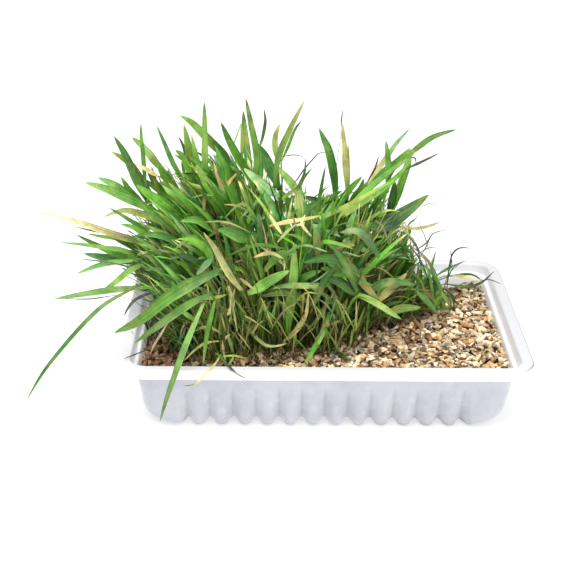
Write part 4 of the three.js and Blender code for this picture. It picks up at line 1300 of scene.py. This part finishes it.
        ("dark", 1.0, (-44, -54, -58), [(-82, 28.5), (-88, 25.7), (-93.5, 23.5)]),
        ("lime", 1.1, (-46, -48), [(-36, 24), (-42, 25.5), (-48, 25)]),
        ("lime", 1.0, (-47, -49), [(-42, 26), (-43, 23), (-45, 20.5)]),
        ("straw straw straw brown", 1.2, (-50, -62, -71, -73, -73),
         [(-48, 26), (-51, 21), (-55, 16.5), (-60, 11), (-66, 9.5)]),
        ("green dark dark", 1.1, (-50, -62, -71, -72), [(-50, 27), (-46, 22), (-41, 16.5), (-36, 13.5)]),
        ("blue dark", 1.4, (-42, -44), [(-64, 40), (-67, 34), (-70.5, 28)]),
        ("olive pale", 1.5, -42, [(-42, 23), (-43, 30), (-45, 38), (-43, 47)]),
        ("lime", 1.3, -40, [(-49, 34), (-48, 43), (-45.5, 52)]),
        ("green deep deep", 3.2, (-30, -34), [(-40, 52), (-41, 60), (-43, 70), (-44.5, 78), (-46, 87)]),
        ("hay yellow hay", 3.6, (-45, -41), [(-38, 58.5), (-42, 64), (-46, 71), (-50, 79), (-55.5, 87)]),
        ("hay", 1.6, (-40, -42), [(-39, 64.5), (-36, 62), (-32.5, 59)]),
        ("olive light", 2.8, -30, [(-37, 58), (-40, 66), (-44, 74)]),
        ("blue pale", 3.2, (-38, -40), [(-51.5, 74.5), (-55, 71), (-59, 66)]),
        ("mid mid", 6.0, (-32, -34), [(-36, 83), (-41, 86), (-49, 88.5)]),
        ("green deep", 6.2, (-30, -32), [(-43, 83.5), (-37, 85), (-30, 85.6)]),
    ]),
    "far_right": (10, [
        ("lime", 0.9, (-8, 20), [(26, 41.5), (34, 42), (42, 43), (50, 42.6), (57, 42), (61.5, 41)]),
        ("olive dark dark", 1.3, (16, 22), [(59, 50), (65, 50.5), (70, 51.2), (74, 50.5), (77.5, 48)]),
        ("yellow straw", 1.6, (16, 20), [(63, 50.5), (70, 49.5), (78, 47.5)]),
        ("green dark dark", 1.6, (18, 24),
         [(60, 46), (66, 45), (72, 44.5), (76, 46), (79, 48), (83.5, 53)]),
        ("dark", 0.6, (22, 24), [(77, 48), (82, 48.2), (87.5, 46)]),
        ("green deep", 3.4, (6, -2), [(46, 42), (51, 37), (57, 30)]),
        ("olive tan", 2.2, (8, 4), [(49, 43), (54, 38.5), (58, 33)]),
        ("lime olive", 2.0, (12, 8), [(57, 43), (60, 39), (62.5, 35)]),
        ("green", 2.0, (4, 0), [(40, 27), (42, 36), (43, 44)]),
        ("green dark", 1.4, 16, [(55, 50), (61, 54), (69, 58)]),
        ("dark", 0.8, 16, [(61, 44), (61.3, 52), (61.8, 60)]),
    ]),
    "behind": (0, [
        ("deep olive dark", 2.0, (14, 12), [(-77, 92), (-78.8, 100), (-80.7, 108)]),
        ("green deep", 3.0, (20, 18), [(-72, 90), (-76, 95), (-81, 99), (-85.4, 102.3)]),
        ("green mid green", 4.4, (22, 20), [(-68, 85), (-74, 93), (-79, 100), (-82.8, 106.5)]),
        ("deep green", 4.4, (24, 22), [(-66, 91), (-71, 98), (-75, 104), (-78, 109)]),
        ("deep mid green", 4.2, (6, 4), [(-79, 62), (-87, 66.4), (-93, 69.3), (-100, 72.4)]),
        ("olive green", 3.4, (8, 6), [(-76, 64), (-84, 68.6), (-91, 71.5), (-102, 75)]),
        ("green mid green", 5.0, (8, 10), [(10, 87), (17, 95.5), (25.5, 104), (32.7, 110.6), (39, 118)]),
        ("deep green", 4.2, 10, [(31, 85), (34, 95.5), (37, 106.5), (38.7, 116)]),
        ("deep green", 3.4, 12, [(5, 88), (11, 97), (17.2, 104)]),
        ("green mid", 3.6, 14, [(10, 86), (15, 95), (18, 103)]),
        ("deep green", 3.6, 14, [(-70, 76), (-78, 84), (-84, 89), (-91, 92)]),
    ]),
}


tangle = {
    "count": 62, "from": 38, "to": 62, "foot": 30, "depth": (2, 26), "width": (0.6, 1.7), "lean": 15,
    # how high it stands from left to right
    "tops": [(30, 70), (40, 69), (46, 61), (51, 54), (57, 46), (63, 41)],
    "colours": ["green", "deep", "deep green", "dark", "green light", "olive hay", "green", "deep pink",
                "blue"],
}
crossing = {
    "count": 80, "from": -66, "to": 28, "low": 40, "length": (13, 32), "width": (1.3, 4.4), "tilt": 75,
    "depth": (-38, -14), "droop": 0.45, "shade": 0.58,
    # how high they may reach from left to right
    "tops": [(-75, 72), (-55, 92), (-30, 96), (0, 88), (30, 84), (45, 74)],
    "colours": ["green", "green light", "deep green", "mid", "olive light", "blue pale", "green lime",
                "deep", "olive hay", "green mid", "mid green deep", "dark deep"],
}
stalks = {
    "count": 100, "from": -72, "to": 16, "low": 27, "length": (9, 24), "width": (0.5, 1.1), "tilt": 44,
    "depth": (-46, -32), "droop": 0.25, "shade": 0.55,
    "tops": [(-80, 50), (-60, 60), (-30, 60), (10, 56), (35, 50)],
    "colours": ["tan", "straw tan", "yellow", "lime", "hay", "pale olive", "olive tan", "green lime",
                "lime green", "green", "olive green"],
}
withered = {
    "count": 60, "from": -64, "to": 32, "low": 52, "length": (8, 22), "width": (0.6, 1.7), "tilt": 80,
    "depth": (-34, -8), "droop": 0.5, "shade": 0.6,
    "tops": [(-75, 76), (-55, 104), (-30, 108), (0, 96), (30, 92), (45, 78)],
    "colours": ["tan", "hay", "straw tan", "tan pink", "olive hay", "lime hay", "brown tan", "yellow",
                "pale", "lime"],
}


def oneOf(items):
    return items[dice.integers(len(items))]


def tangledShoots():  # thin, crossing shoots at the clump's right end, as drawn leaves
    shoots = []
    foot = tangle["foot"]
    for _ in range(tangle["count"]):
        x = dice.uniform(tangle["from"], tangle["to"])
        height = (curve(tangle["tops"], x) - foot) * dice.uniform(0.5, 1.2)
        lean = np.clip(dice.normal(0.2, 0.8), -0.8, 1.2) * tangle["lean"] * height / 30
        bend = (x - lean * 0.65 + dice.uniform(-1.5, 1.5), foot + height * 0.7)
        points = [(x - lean, foot + height * 0.2), bend, (x, foot + height)]
        skins = oneOf(tangle["colours"])
        depth = dice.uniform(*tangle["depth"])
        shoots.append((skins, dice.uniform(*tangle["width"]), depth, points))
    return shoots


def scattered(what):  # leaves that lie across the others in every direction, as drawn leaves
    leaves = []
    for _ in range(what["count"]):
        x = dice.uniform(what["from"], what["to"])
        z = dice.uniform(what["low"], curve(what["tops"], x) - 8)
        tilt = math.radians(dice.uniform(-what["tilt"], what["tilt"]))
        length = dice.uniform(*what["length"])
        across, up = math.sin(tilt) * length, math.cos(tilt) * length
        sink = dice.uniform(0, what["droop"]) * abs(across)
        tip = (x + across, min(z + up - sink, curve(what["tops"], x + across)))
        depth = dice.uniform(*what["depth"])
        skins = oneOf(what["colours"])
        middle = (x + across * 0.5, z + up * 0.55)
        leaves.append((skins, dice.uniform(*what["width"]), (depth, depth - 3), [(x, z), middle, tip]))
    return leaves


def makeFallenLeaf():
    (lowX, lowY, _), (highX, highY, top) = boxOf("fallen_leaf")
    z = top + 0.4
    path = [(lowX, highY, z), (lowX + 3, highY - 1.5, z), (5, -31, z + 0.6), (highX - 1, lowY + 1, z)]
    sections, tints = drawLeaf("dark deep", 2.6, path, face=(0, 0, 1))
    piece = leafMesh("fallen_leaf_blade", sections, tints)
    return finishPiece(piece, leafMaterial, ["fallen_leaf"])


for node, (skins, width, path) in longLeaves.items():
    straw = "straw" in skins  # this one narrows all the way out
    blunt = 2.4 if straw else drawing["blunt"]
    piece = leafMesh(node + "_blade", *drawLeaf(skins, width, path, blunt=blunt))
    finishPiece(piece, leafMaterial, [node])
for name, (plane, leaves) in drawnLeaves.items():
    makeDrawnLeaves(name, plane, leaves)
makeDrawnLeaves("tangle", 10, tangledShoots())
for name, what in {"crossing": crossing, "stalks": stalks, "withered": withered}.items():
    makeDrawnLeaves(name, -30, scattered(what), what["shade"])
makeFallenLeaf()


print("stage: studio")


def makeFloor():
    finish = Finish("pale floor", Base_Color=studio["floorColour"], Roughness=0.9,
                    Emission_Color=(1, 1, 1, 1), Emission_Strength=studio["floorGlow"])
    corners = np.array([(-1, -1, 0), (1, -1, 0), (1, 1, 0), (-1, 1, 0)]) * studio["floorHalf"]
    floor = buildMesh("floor", corners, [np.arange(4)[None, :]], faceted=True)
    floor.data.materials.append(finish.material)


def softLight(name, place, size, power):
    light = bpy.data.lights.new(name, "AREA")
    light.shape = "DISK"
    light.size, light.energy = size, power
    lamp = bpy.data.objects.new(name, light)
    lamp.location = place
    lamp.rotation_euler = (Vector(studio["lightAim"]) - Vector(place)).to_track_quat("-Z", "Y").to_euler()
    bpy.context.scene.collection.objects.link(lamp)


def makeCamera():
    roll = math.radians(studio["roll"])
    back = Vector(viewWay())
    level = back.cross(Vector((0, 0, -1))).normalized()
    upright = level.cross(-back)
    right = level * math.cos(roll) + upright * math.sin(roll)
    up = upright * math.cos(roll) - level * math.sin(roll)
    place = (Vector(studio["aim"]) + back * studio["distance"]) * mm
    camera = bpy.data.objects.new("camera", bpy.data.cameras.new("camera"))
    camera.data.lens = studio["lens"]
    camera.data.sensor_width = 36
    camera.data.clip_start = 0.01
    camera.matrix_world = Matrix.Translation(place) @ Matrix((right, up, back)).transposed().to_4x4()
    bpy.context.scene.collection.objects.link(camera)
    bpy.context.scene.camera = camera


def makeWorld():
    world = bpy.data.worlds.new("studio")
    world.use_nodes = True
    sky = world.node_tree.nodes["Background"].inputs
    sky["Color"].default_value = studio["skyColour"]
    sky["Strength"].default_value = studio["skyStrength"]
    bpy.context.scene.world = world
    bpy.context.scene.view_settings.view_transform = "Standard"


makeFloor()
for name, light in studio["lights"].items():
    softLight(name, *light)
makeCamera()
makeWorld()

print("stage: done")
